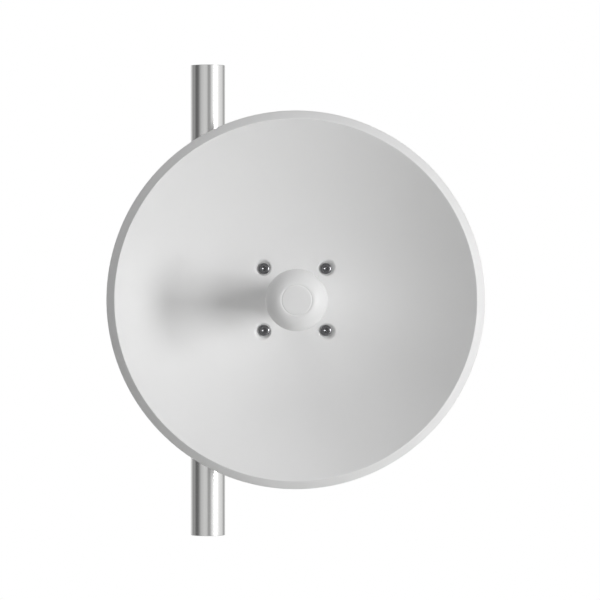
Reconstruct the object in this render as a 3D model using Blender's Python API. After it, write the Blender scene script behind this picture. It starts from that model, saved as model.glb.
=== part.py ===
"""Wireless bridge dish antenna on a short pole, modelled in metres with +Z up.

The dish looks along -Y. The origin is on the wall of the pole's lower cut end, at the point that
faces the dish, so the pole's axis stands a little behind it. Depths are given along the dish's axis
from its vertex: ahead() goes towards the feed and behind() goes towards the pole.
"""
import math

import bmesh
import bpy
from mathutils import Vector

# Pole
POLE_DIAMETER = 0.0445
POLE_WALL = 0.0020
POLE_LENGTH = 0.606
POLE_AXIS_Y = (POLE_DIAMETER - POLE_WALL) / 2

# Where the dish stands beside the pole
DISH_BESIDE_POLE = 0.111
DISH_HEIGHT = 0.3045
POLE_BEHIND_VERTEX = 0.102
VERTEX = Vector((DISH_BESIDE_POLE, POLE_AXIS_Y - POLE_BEHIND_VERTEX, DISH_HEIGHT))

# Reflector
FOCAL_LENGTH = 0.141
SHEET = 0.0016
HUB_HOLE_RADIUS = 0.018
CREST_RADIUS = 0.2246
CREST_ROUNDING = 0.0012
RIM_RADIUS = 0.235
EDGE_TURN = 0.0030
BOWL_RINGS = 11
DISH_SEGMENTS = 72

# Dimples for the four front screws
SCREW_SPACING = 0.078
DIMPLE_FLOOR_AHEAD = 0.0026
DIMPLE_FLOOR_RADIUS = 0.0074
DIMPLE_MOUTH_RADIUS = 0.0108
DIMPLE_SEGMENTS = 24

# Gap between pieces that touch, and the clearance of a bolt in its hole
GAP = 0.0003
HOLE_CLEARANCE = 0.0003

# How far a cutter runs past the face that it cuts
THROUGH = 0.0040

# Feed
COLLAR_RADIUS = 0.0310
COLLAR_TOP = 0.0065
COLLAR_EDGE = 0.0040
COLLAR_SIDE = 0.0030
NECK_RADIUS = 0.0215
NECK_FLARE = 0.0020
NECK_FOOT = 0.0060
NECK_TAPER = 0.0200
CAP_UNDERSIDE = 0.127
CAP_FRONT = 0.165
CAP_RADIUS = 0.0380
CAP_DISC_RADIUS = 0.0200
CAP_DISC_STEP = 0.0004
CAP_DOME_DEPTH = 0.0175
CAP_DOME_POWER = 4 / 3
CAP_DOME_STEPS = 8
SPIGOT_RADIUS = 0.0150
SPIGOT_ROOT = 0.0040
SPIGOT_SHORT = 0.0010
FEED_SEGMENTS = 36

# Mounting plate, a steel pressing behind the dish
PLATE_FRONT = 0.0022
PLATE_THICKNESS = 0.0030
PLATE_BACK = PLATE_FRONT + PLATE_THICKNESS
PAD_HALF = 0.052
ARM_END = 0.033
ARM_TOP = 0.044
ARM_BOTTOM = -0.034
FLANGE_DEPTH = 0.0100
PLATE_CORNER = 0.0100
BOSS_RADIUS = 0.0095
BOSS_SPREAD = 0.0010
BURIED = 0.0002

# Tilt fork, and the pivot that it turns on
FORK_FRONT = PLATE_BACK + GAP
FORK_SHEET = 0.0030
FORK_OUTER = 0.0285
FORK_INNER = FORK_OUTER - FORK_SHEET
PIVOT_BEHIND = 0.032
LOCK_RADIUS = 0.020
EAR_RADIUS = 0.030
EAR_HEEL_RADIUS = 0.014
FORK_TOP = 0.036
FORK_BOTTOM = -0.024
FORK_TOE = 0.007
FORK_BOLT_HEIGHTS = (-0.014, 0.026)
TILT_RANGE = math.radians(20)

# Pole clamp
CHEEK_OUTER = FORK_INNER - 0.0005
CHEEK_INNER = CHEEK_OUTER - 0.0040
CHEEK_TOP_RADIUS = 0.009
CHEEK_NOSE_RADIUS = 0.015
CHEEK_TOP = 0.029
CHEEK_BOTTOM = -0.026
CHEEK_HEEL = 0.014
CHEEK_ROOT = 0.004
JAW_DEPTH = 0.032
JAW_FLANGE = 0.0080
JAW_NOSE = 0.0120
JAW_HALF_HEIGHT = 0.030
JAW_BLOCK_HALF = 0.027
JAW_FLANGE_HALF = 0.048
JAW_THROAT_HALF = 0.005
JAW_SLOPE = math.radians(60)
CLAMP_BOLT_X = 0.038
CLAMP_BOLT_Z = 0.019
JAW_CORNER = 0.009
JAW_DRAFT = 0.002
POCKET_HALF = 0.0190
POCKET_LOW = 0.0030
POCKET_HIGH = 0.0240
POCKET_DEPTH = 0.0040

# Threaded parts, by nominal size
M8_RADIUS = 0.0040
M8_FLATS = 0.0130
M8_HEAD = 0.0055
M8_NUT = 0.0065
M8_FLANGE = 0.0085
M6_RADIUS = 0.0030
M6_FLATS = 0.0100
M6_HEAD = 0.0040
M6_NUT = 0.0050
M6_FLANGE = 0.0066
BUTTON_HEAD_RADIUS = 0.0070
BUTTON_HEAD_HEIGHT = 0.0044
BUTTON_HEAD_FLAT = 0.68
BUTTON_HEAD_SIDE = 0.26
SOCKET_HALF = 0.0025
SOCKET_DEPTH = 0.0026
THREAD_PROUD = 0.0030
TIP_CHAMFER = 0.0010
BOLT_SEGMENTS = 18

# Radio behind the dish
RADIO_HALF_WIDTH = 0.029
RADIO_HALF_HEIGHT = 0.095
RADIO_FRONT = PLATE_BACK + GAP
RADIO_SPLIT = 0.036
RADIO_BACK = 0.050
RADIO_CORNER = 0.011
TUB_EDGE = 0.0006
COVER_EDGE = 0.0060
DOOR_HEIGHT = 0.034
DOOR_GAP = 0.0010
DOOR_STEP = 0.0030
DOOR_CORNER = 0.0060
DOOR_EDGE = 0.0040
WINDOW_HALF_WIDTH = 0.0045
WINDOW_HALF_HEIGHT = 0.020
WINDOW_CORNER = 0.0040
WINDOW_PROUD = 0.0013
WINDOW_UP = 0.045
GLAND_RADIUS = 0.0105
GLAND_BORE_RADIUS = 0.0038
GLAND_LENGTH = 0.021
GROUND_SCREW_ACROSS = 0.017
GROUND_SCREW_RADIUS = 0.0040
GROUND_SCREW_HEAD = 0.0034


def clear_scene():
    """Remove every object that is in the file."""
    for item in list(bpy.data.objects):
        bpy.data.objects.remove(item, do_unlink=True)


def ahead(distance, across=0.0, up=0.0):
    """The world point at this distance in front of the vertex, with its offsets from the axis."""
    return Vector((VERTEX.x + across, VERTEX.y - distance, VERTEX.z + up))


def behind(distance, across=0.0, up=0.0):
    """The world point at this distance behind the vertex, with its offsets from the axis."""
    return ahead(-distance, across, up)


def paint(name, color, roughness, metallic):
    """A Principled material of one colour, for a piece in the CAD views."""
    material = bpy.data.materials.new(name)
    material.use_nodes = True
    shader = material.node_tree.nodes["Principled BSDF"]
    shader.inputs["Base Color"].default_value = (*color, 1.0)
    shader.inputs["Roughness"].default_value = roughness
    shader.inputs["Metallic"].default_value = metallic
    return material


clear_scene()
WHITE_COAT = paint("white_powder_coat", (0.80, 0.80, 0.80), 0.45, 0.0)
WHITE_PLASTIC = paint("white_plastic", (0.82, 0.82, 0.81), 0.40, 0.0)
GREY_PLASTIC = paint("grey_plastic", (0.18, 0.18, 0.19), 0.55, 0.0)
STAINLESS = paint("stainless_steel", (0.60, 0.60, 0.60), 0.28, 1.0)
ZINC_STEEL = paint("zinc_plated_steel", (0.62, 0.63, 0.65), 0.38, 1.0)
CAST_METAL = paint("cast_aluminium", (0.55, 0.55, 0.56), 0.50, 1.0)
WINDOW_PLASTIC = paint("smoked_window", (0.05, 0.05, 0.06), 0.15, 0.0)

# Which way an object's local +Z points
FRONT = (math.radians(90), 0, 0)
REAR = (math.radians(-90), 0, 0)
RIGHT = (0, math.radians(90), 0)
UP = (0, 0, 0)
DOWN = (math.radians(180), 0, 0)


def axis_empty(name, location, parent=None):
    """An empty on a joint's axis, which the moving pieces are parented to."""
    empty = bpy.data.objects.new(name, None)
    bpy.context.scene.collection.objects.link(empty)
    empty.parent = parent
    empty["world"] = tuple(location)
    empty.location = Vector(location) - parent_place(parent)
    return empty


def parent_place(parent):
    """The world place of a parent empty, or the origin."""
    return Vector(parent["world"]) if parent else Vector((0, 0, 0))


AZIMUTH = axis_empty("azimuth_axis", (0, POLE_AXIS_Y, DISH_HEIGHT))
TILT = axis_empty("tilt_axis", (0, behind(PIVOT_BEHIND).y, DISH_HEIGHT), AZIMUTH)


def add_object(name, bm, material, location, turn, parent):
    """Turn a bmesh into a named object with its normals out, smooth across shallow edges."""
    bmesh.ops.recalc_face_normals(bm, faces=bm.faces)
    mesh = bpy.data.meshes.new(name)
    bm.to_mesh(mesh)
    bm.free()
    mesh.shade_smooth()
    mesh.set_sharp_from_angle(angle=math.radians(35))
    item = bpy.data.objects.new(name, mesh)
    bpy.context.scene.collection.objects.link(item)
    if material:
        mesh.materials.append(material)
    item.rotation_euler = turn
    item.parent = parent
    item.location = Vector(location) - parent_place(parent)
    return item


def lathe(rings, segments, bored=False, bm=None, centre=(0.0, 0.0)):
    """Rings of (radius, height) about local Z, joined in turn; a third value makes a ring a hexagon.

    A ring of no radius is one point. A bored shape joins its last ring to its first.
    """
    bm = bm or bmesh.new()
    made = []
    for ring in rings:
        radius, height = ring[0], ring[1]
        if radius == 0:
            made.append([bm.verts.new((centre[0], centre[1], height))])
            continue
        verts = []
        for step in range(segments):
            angle = math.tau * step / segments
            reach = radius
            if len(ring) == 3:
                reach = radius / math.cos((angle % (math.tau / 6)) - math.tau / 12)
            place = (centre[0] + reach * math.cos(angle), centre[1] + reach * math.sin(angle), height)
            verts.append(bm.verts.new(place))
        made.append(verts)
    pairs = list(zip(made, made[1:]))
    if bored:
        pairs.append((made[-1], made[0]))
    for low, high in pairs:
        for step in range(segments):
            after = (step + 1) % segments
            corners = [low[step % len(low)], low[after % len(low)]]
            corners += [high[after % len(high)], high[step % len(high)]]
            bm.faces.new(list(dict.fromkeys(corners)))
    return bm


def prism(outline, start, end, bm=None):
    """A closed outline in local XY, extruded along local Z between two heights."""
    bm = bm or bmesh.new()
    lower = [bm.verts.new((x, y, start)) for x, y in outline]
    upper = [bm.verts.new((x, y, end)) for x, y in outline]
    bm.faces.new(lower)
    bm.faces.new(list(reversed(upper)))
    count = len(outline)
    for step in range(count):
        after = (step + 1) % count
        bm.faces.new((lower[step], upper[step], upper[after], lower[after]))
    return bm


def arc(centre, radius, first, last, steps):
    """Points on an arc, with its angles in degrees from local +X."""
    points = []
    for step in range(steps + 1):
        angle = math.radians(first + (last - first) * step / steps)
        points.append((centre[0] + radius * math.cos(angle), centre[1] + radius * math.sin(angle)))
    return points


def rounded_rectangle(half_x, half_y, radius, steps=4):
    """The outline of a rectangle with round corners."""
    points = arc((half_x - radius, half_y - radius), radius, 0, 90, steps)
    points += arc((radius - half_x, half_y - radius), radius, 90, 180, steps)
    points += arc((radius - half_x, radius - half_y), radius, 180, 270, steps)
    points += arc((half_x - radius, radius - half_y), radius, 270, 360, steps)
    return points


def tool(name, bm, location, turn=UP, parent=None):
    """A cutter or a piece to be joined, which isn't a part of the antenna itself."""
    item = add_object(name, bm, None, location, turn, parent)
    item.hide_render = True
    item.display_type = "WIRE"
    return item


def combine(item, helper, operation):
    """Cut, join or trim an object with a helper, exactly."""
    modifier = item.modifiers.new(helper.name, "BOOLEAN")
    modifier.operation = operation
    modifier.solver = "EXACT"
    modifier.object = helper


def bolt_holes(name, places, radius, start, end, location, turn, parent):
    """One cutter for several round holes, along local Z."""
    bm = bmesh.new()
    for place in places:
        lathe([(0, start), (radius, start), (radius, end), (0, end)], BOLT_SEGMENTS, bm=bm, centre=place)
    return tool(name, bm, location, turn, parent)


def hex_bolt(name, location, turn, parent, radius, flats, head, length):
    """A hexagon bolt with its head's bearing face at the location and its shank along local Z."""
    half = flats / 2
    chamfer = head * 0.15
    rings = [(0, -head), (half * 0.94, -head), (half, chamfer - head, "hex"), (half, 0, "hex")]
    rings += [(radius, 0), (radius, length - radius / 4), (radius * 0.8, length), (0, length)]
    return add_object(name, lathe(rings, BOLT_SEGMENTS), STAINLESS, location, turn, parent)


def flange_nut(name, location, turn, parent, radius, flats, height, flange):
    """A hexagon nut with its flange's bearing face at the location, built along local Z."""
    bore = radius + HOLE_CLEARANCE
    half = flats / 2
    foot = height * 0.22
    rings = [(bore, 0), (flange, 0), (flange, foot * 0.6), (half, foot, "hex")]
    rings += [(half, height * 0.88, "hex"), (half * 0.92, height), (bore, height)]
    return add_object(name, lathe(rings, BOLT_SEGMENTS, bored=True), STAINLESS, location, turn, parent)


def bowl_depth(radius):
    """How far the paraboloid stands in front of its vertex at a radius."""
    return radius * radius / (4 * FOCAL_LENGTH)


def bowl_back(radius):
    """The ring on the back of the sheet that matches a radius on its front."""
    slope = math.atan(radius / (2 * FOCAL_LENGTH))
    return radius + SHEET * math.sin(slope), bowl_depth(radius) - SHEET * math.cos(slope)


def dimple_places():
    """The four screws, as offsets across and up from the dish's axis."""
    half = SCREW_SPACING / 2
    return {"upper_left": (-half, half), "upper_right": (half, half),
            "lower_left": (-half, -half), "lower_right": (half, -half)}


def dimple_cup(bm, across, up):
    """The outside of one dimple: a cone whose top lies inside the sheet, along the bowl's slope."""
    reach = math.hypot(across, up)
    slope = reach / (2 * FOCAL_LENGTH)
    floor = DIMPLE_FLOOR_AHEAD - SHEET
    widening = (DIMPLE_MOUTH_RADIUS - DIMPLE_FLOOR_RADIUS) / (bowl_depth(reach) - DIMPLE_FLOOR_AHEAD)
    base_radius = DIMPLE_FLOOR_RADIUS + SHEET / 2
    middle = bowl_depth(reach) - SHEET / 4
    lower = []
    upper = []
    for step in range(DIMPLE_SEGMENTS):
        angle = math.tau * step / DIMPLE_SEGMENTS
        outward = (across * math.cos(angle) + up * math.sin(angle)) / reach
        rise = slope * outward
        height = (middle + rise * (base_radius - widening * floor)) / (1 - rise * widening)
        radius = base_radius + widening * (height - floor)
        lower.append(bm.verts.new((across + base_radius * math.cos(angle),
                                   up + base_radius * math.sin(angle), floor)))
        upper.append(bm.verts.new((across + radius * math.cos(angle),
                                   up + radius * math.sin(angle), height)))
    bm.faces.new(lower)
    bm.faces.new(list(reversed(upper)))
    for step in range(DIMPLE_SEGMENTS):
        after = (step + 1) % DIMPLE_SEGMENTS
        bm.faces.new((lower[step], upper[step], upper[after], lower[after]))


def build_reflector():
    """Spun aluminium bowl with a lip that slopes back at 45 degrees, a turned edge and dimples."""
    radii = []
    for step in range(BOWL_RINGS + 1):
        share = step / BOWL_RINGS
        last = CREST_RADIUS - CREST_ROUNDING
        radii.append(HUB_HOLE_RADIUS + (last - HUB_HOLE_RADIUS) * share)
    front = [(radius, bowl_depth(radius)) for radius in radii]
    back = [bowl_back(radius) for radius in radii[:-1]]
    crest = bowl_depth(CREST_RADIUS)
    rim = crest - (RIM_RADIUS - CREST_RADIUS)
    lip = [(CREST_RADIUS, crest - CREST_ROUNDING * 0.3),
           (CREST_RADIUS + CREST_ROUNDING, crest - CREST_ROUNDING * 1.2),
           (RIM_RADIUS - SHEET / 2, rim + SHEET / 2), (RIM_RADIUS, rim - SHEET / 2),
           (RIM_RADIUS, rim - EDGE_TURN), (RIM_RADIUS - SHEET, rim - EDGE_TURN),
           (RIM_RADIUS - SHEET, rim - SHEET),
           (CREST_RADIUS + SHEET / 4, crest - SHEET * 1.5)]
    body = lathe(front + lip + back[::-1], DISH_SEGMENTS, bored=True)
    reflector = add_object("reflector", body, WHITE_COAT, ahead(0), FRONT, TILT)

    cups = bmesh.new()
    holes = bmesh.new()
    reach = SCREW_SPACING / math.sqrt(2)
    rise = bowl_depth(reach) - DIMPLE_FLOOR_AHEAD
    widening = (DIMPLE_MOUTH_RADIUS - DIMPLE_FLOOR_RADIUS) / rise
    through = DIMPLE_FLOOR_AHEAD - 3 * SHEET
    bore = M8_RADIUS + HOLE_CLEARANCE
    top = DIMPLE_FLOOR_AHEAD + 2 * rise
    mouth = DIMPLE_FLOOR_RADIUS + 2 * rise * widening
    for place in dimple_places().values():
        dimple_cup(cups, *place)
        rings = [(0, through), (bore, through), (bore, DIMPLE_FLOOR_AHEAD)]
        rings += [(DIMPLE_FLOOR_RADIUS, DIMPLE_FLOOR_AHEAD), (mouth, top), (0, top)]
        lathe(rings, DIMPLE_SEGMENTS, bm=holes, centre=place)
    combine(reflector, tool("dimple_cups", cups, ahead(0), FRONT, TILT), "UNION")
    combine(reflector, tool("dimple_holes", holes, ahead(0), FRONT, TILT), "DIFFERENCE")


def build_feed():
    """The feed: a collar clipped to the dish, a tapered neck, and a cap like a shallow mushroom."""
    inner = SPIGOT_RADIUS + GAP
    collar = [(inner, bowl_depth(inner) + GAP), (inner, COLLAR_TOP), (NECK_RADIUS, COLLAR_TOP),
              (COLLAR_RADIUS - COLLAR_EDGE, COLLAR_TOP - 2 * GAP),
              (COLLAR_RADIUS, COLLAR_TOP - COLLAR_SIDE),
              (COLLAR_RADIUS, bowl_depth(COLLAR_RADIUS) + GAP),
              (COLLAR_RADIUS * 0.75, bowl_depth(COLLAR_RADIUS * 0.75) + GAP)]
    collar = lathe(collar, FEED_SEGMENTS, bored=True)
    add_object("feed_collar", collar, WHITE_PLASTIC, ahead(0), FRONT, TILT)

    start = COLLAR_TOP + GAP
    end = CAP_UNDERSIDE - GAP
    neck = [(0, start), (NECK_RADIUS + NECK_FLARE, start),
            (NECK_RADIUS + NECK_FLARE / 2, start + NECK_FOOT),
            (NECK_RADIUS, start + NECK_TAPER), (NECK_RADIUS, end), (0, end)]
    add_object("feed_neck", lathe(neck, FEED_SEGMENTS), WHITE_PLASTIC, ahead(0), FRONT, TILT)

    widest = CAP_FRONT - CAP_DOME_DEPTH
    flare = CAP_RADIUS - NECK_RADIUS
    rise = widest - CAP_UNDERSIDE
    cap = [(0, CAP_UNDERSIDE), (NECK_RADIUS + flare * 0.06, CAP_UNDERSIDE),
           (NECK_RADIUS + flare * 0.18, CAP_UNDERSIDE + rise * 0.15),
           (NECK_RADIUS + flare * 0.48, widest - rise * 0.54),
           (CAP_RADIUS - flare * 0.18, widest - rise * 0.29),
           (CAP_RADIUS - CAP_DISC_STEP, widest - rise * 0.15)]
    for step in range(CAP_DOME_STEPS + 1):
        turn = math.radians(90) * step / CAP_DOME_STEPS
        out, domed = math.cos(turn) ** CAP_DOME_POWER, math.sin(turn) ** CAP_DOME_POWER
        radius = CAP_DISC_RADIUS + (CAP_RADIUS - CAP_DISC_RADIUS) * out
        cap.append((radius, widest + (CAP_DOME_DEPTH - CAP_DISC_STEP) * domed))
    cap += [(CAP_DISC_RADIUS - CAP_DISC_STEP, CAP_FRONT), (0, CAP_FRONT)]
    add_object("feed_cap", lathe(cap, FEED_SEGMENTS), WHITE_PLASTIC, ahead(0), FRONT, TILT)


def build_front_screws():
    """Four button head screws in the dimples, each with a flange nut behind the mounting plate."""
    foot = DIMPLE_FLOOR_AHEAD + GAP
    top = foot + BUTTON_HEAD_HEIGHT
    tip = -PLATE_BACK - M8_NUT - THREAD_PROUD
    floor = top - SOCKET_DEPTH
    rings = [(0, floor), (SOCKET_HALF, floor, "hex"), (SOCKET_HALF, top, "hex")]
    for turn in (0, 30, 60, 90):
        out, fall = math.sin(math.radians(turn)), 1 - math.cos(math.radians(turn))
        rings.append((BUTTON_HEAD_RADIUS * (BUTTON_HEAD_FLAT + (1 - BUTTON_HEAD_FLAT) * out),
                      top - BUTTON_HEAD_HEIGHT * (1 - BUTTON_HEAD_SIDE) * fall))
    rings += [(BUTTON_HEAD_RADIUS, foot), (M8_RADIUS, foot), (M8_RADIUS, tip + TIP_CHAMFER),
              (M8_RADIUS * 0.8, tip), (0, tip)]
    for corner, (across, up) in dimple_places().items():
        screw = lathe(rings, BOLT_SEGMENTS)
        add_object("screw_" + corner, screw, STAINLESS, ahead(0, across, up), FRONT, TILT)
        seat = behind(PLATE_BACK + GAP, across, up)
        flange_nut("nut_" + corner, seat, REAR, TILT, M8_RADIUS, M8_FLATS, M8_NUT, M8_FLANGE)


def build_mounting_plate():
    """The pressed steel plate that the four screws hold, with an arm that reaches over to the pole.

    Local X is across, local Y is up and local Z is ahead, so the plate's depths are negative.
    """
    corner = PLATE_CORNER
    arm_left = -DISH_BESIDE_POLE - ARM_END
    root = -PAD_HALF
    outline = arc((PAD_HALF - corner, PAD_HALF - corner), corner, 0, 90, 4)
    outline += [(root + corner * 1.4, PAD_HALF), (root, ARM_TOP)]
    outline += arc((arm_left + corner, ARM_TOP - corner), corner, 90, 180, 4)
    outline += arc((arm_left + corner, ARM_BOTTOM + corner), corner, 180, 270, 4)
    outline += [(root, ARM_BOTTOM), (root + corner * 1.8, -PAD_HALF)]
    outline += arc((PAD_HALF - corner, corner - PAD_HALF), corner, 270, 360, 4)
    plate = prism(outline, -PLATE_BACK, -PLATE_FRONT)
    plate = add_object("mounting_plate", plate, ZINC_STEEL, ahead(0), FRONT, TILT)

    bosses = bmesh.new()
    low, high = -PLATE_FRONT - BURIED, DIMPLE_FLOOR_AHEAD - SHEET - GAP
    for place in dimple_places().values():
        rings = [(0, low), (BOSS_RADIUS + BOSS_SPREAD, low), (BOSS_RADIUS, high), (0, high)]
        lathe(rings, DIMPLE_SEGMENTS, bm=bosses, centre=place)
    combine(plate, tool("plate_bosses", bosses, ahead(0), FRONT, TILT), "UNION")

    left = arm_left + corner
    flanges = bmesh.new()
    for low, high in ((ARM_TOP - PLATE_THICKNESS - BURIED, ARM_TOP - BURIED),
                      (ARM_BOTTOM + BURIED, ARM_BOTTOM + PLATE_THICKNESS + BURIED)):
        strip = [(left, low), (root, low), (root, high), (left, high)]
        prism(strip, -PLATE_BACK - FLANGE_DEPTH, -PLATE_FRONT - BURIED, bm=flanges)
    combine(plate, tool("arm_flanges", flanges, ahead(0), FRONT, TILT), "UNION")

    deep, high = -PLATE_BACK - THROUGH / 2, DIMPLE_FLOOR_AHEAD
    places = list(dimple_places().values())
    large = bolt_holes("plate_m8_holes", places, M8_RADIUS + HOLE_CLEARANCE, deep, high,
                       ahead(0), FRONT, TILT)
    combine(plate, large, "DIFFERENCE")
    places = [(-DISH_BESIDE_POLE, up) for up in FORK_BOLT_HEIGHTS]
    small = bolt_holes("plate_m6_holes", places, M6_RADIUS + HOLE_CLEARANCE, deep, high,
                       ahead(0), FRONT, TILT)
    combine(plate, small, "DIFFERENCE")
    hub = bolt_holes("plate_hub_hole", [(0, 0)], HUB_HOLE_RADIUS, deep, high, ahead(0), FRONT, TILT)
    combine(plate, hub, "DIFFERENCE")


def build_tilt_fork():
    """A U of bent plate whose two ears carry the pivot and the curved slots for the lock bolt.

    Its outline is in local X, which is depth behind the vertex, and local Y, which is up.
    """
    pivot = (PIVOT_BEHIND, 0.0)
    outline = [(FORK_FRONT, FORK_BOTTOM), (FORK_FRONT + FORK_TOE, FORK_BOTTOM)]
    outline += arc(pivot, EAR_HEEL_RADIUS, 250, 350, 6)
    outline += arc(pivot, EAR_RADIUS, 45, 110, 8)
    outline += [(FORK_FRONT + FORK_TOE, FORK_TOP), (FORK_FRONT, FORK_TOP)]
    ears = across_prism(outline, -FORK_OUTER, FORK_OUTER)
    fork = add_object("tilt_fork", ears, ZINC_STEEL, side_place(), (0, 0, 0), TILT)

    beyond = PIVOT_BEHIND + 2 * EAR_RADIUS
    web = FORK_FRONT + FORK_SHEET
    low, high = 2 * FORK_BOTTOM, 2 * FORK_TOP
    inside = [(web, low), (beyond, low), (beyond, high), (web, high)]
    inside = across_prism(inside, -FORK_INNER, FORK_INNER)
    combine(fork, tool("fork_inside", inside, side_place(), UP, TILT), "DIFFERENCE")

    half = M8_RADIUS + HOLE_CLEARANCE
    span = math.degrees(TILT_RANGE)
    slot = arc(pivot, LOCK_RADIUS + half, 90 - span, 90 + span, 10)
    slot += arc(lock_place(span), half, 90 + span, 270 + span, 8)[1:-1]
    slot += arc(pivot, LOCK_RADIUS - half, 90 + span, 90 - span, 10)
    slot += arc(lock_place(-span), half, 270 - span, 450 - span, 8)[1:-1]
    wide = FORK_OUTER + THROUGH
    slots = tool("fork_slots", across_prism(slot, -wide, wide), side_place(), UP, TILT)
    combine(fork, slots, "DIFFERENCE")
    bore = across_prism(arc(pivot, half, 0, 345, 23), -wide, wide)
    combine(fork, tool("fork_bore", bore, side_place(), UP, TILT), "DIFFERENCE")
    places = [(-DISH_BESIDE_POLE, up) for up in FORK_BOLT_HEIGHTS]
    small = bolt_holes("fork_m6_holes", places, M6_RADIUS + HOLE_CLEARANCE,
                       -web - THROUGH / 2, THROUGH / 2 - FORK_FRONT, ahead(0), FRONT, TILT)
    combine(fork, small, "DIFFERENCE")

    for name, up in zip(("lower", "upper"), FORK_BOLT_HEIGHTS):
        seat = behind(PLATE_FRONT - GAP, -DISH_BESIDE_POLE, up)
        length = web + M6_NUT + THREAD_PROUD - PLATE_FRONT
        hex_bolt(name + "_fork_bolt", seat, REAR, TILT, M6_RADIUS, M6_FLATS, M6_HEAD, length)
        seat = behind(web + GAP, -DISH_BESIDE_POLE, up)
        flange_nut(name + "_fork_nut", seat, REAR, TILT, M6_RADIUS, M6_FLATS, M6_NUT, M6_FLANGE)


def lock_place(degrees):
    """Where the lock bolt's centre stands in the slot, turned back from upright by an angle."""
    angle = math.radians(90 + degrees)
    return (PIVOT_BEHIND + LOCK_RADIUS * math.cos(angle), LOCK_RADIUS * math.sin(angle))


def across_prism(outline, start, end):
    """An outline of (depth behind the vertex, height) extruded across, from start to end."""
    bm = bmesh.new()
    left = [bm.verts.new((start, depth, up)) for depth, up in outline]
    right = [bm.verts.new((end, depth, up)) for depth, up in outline]
    bm.faces.new(left)
    bm.faces.new(list(reversed(right)))
    count = len(outline)
    for step in range(count):
        after = (step + 1) % count
        bm.faces.new((left[step], right[step], right[after], left[after]))
    return bm


def side_place():
    """The place of pieces that are drawn from the side: at the vertex's depth, over the pole."""
    return Vector((0, VERTEX.y, VERTEX.z))


def jaw_outline(face, direction):
    """A pole jaw from above, as (across, depth): two bolt flanges and a nose with a V for the pole.

    The flat face is at one depth, and the V opens along the direction, towards the pole.
    """
    apex = POLE_BEHIND_VERTEX - direction * (POLE_DIAMETER / 2 + GAP) / math.sin(JAW_SLOPE)
    throat = apex + direction * JAW_THROAT_HALF / math.tan(JAW_SLOPE)
    flange = face + direction * JAW_FLANGE
    nose = flange + direction * JAW_NOSE
    mouth_half = abs(nose - apex) * math.tan(JAW_SLOPE)
    half = [(JAW_THROAT_HALF, throat), (mouth_half, nose), (JAW_BLOCK_HALF, nose),
            (JAW_BLOCK_HALF + JAW_DRAFT, flange), (JAW_FLANGE_HALF, flange), (JAW_FLANGE_HALF, face)]
    return half + [(-across, depth) for across, depth in reversed(half)]


def build_jaw(name, face, direction):
    """A cast jaw: its outline carried up to its full height, with the corners of its flanges rounded."""
    body = prism(jaw_outline(face, direction), -JAW_HALF_HEIGHT, JAW_HALF_HEIGHT)
    jaw = add_object(name, body, CAST_METAL, side_place(), UP, AZIMUTH)
    wide = rounded_rectangle(JAW_FLANGE_HALF, JAW_HALF_HEIGHT, JAW_CORNER)
    trim = prism(wide, -POLE_BEHIND_VERTEX - 2 * JAW_DEPTH, 2 * JAW_DEPTH - POLE_BEHIND_VERTEX)
    combine(jaw, tool(name + "_trim", trim, side_place(), FRONT, AZIMUTH), "INTERSECT")
    return jaw


def clamp_bolt_places():
    """The four clamp bolts, as offsets across and up from the pole's axis."""
    across, up = CLAMP_BOLT_X, CLAMP_BOLT_Z
    return {"upper_left": (-across, up), "upper_right": (across, up),
            "lower_left": (-across, -up), "lower_right": (across, -up)}


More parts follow.
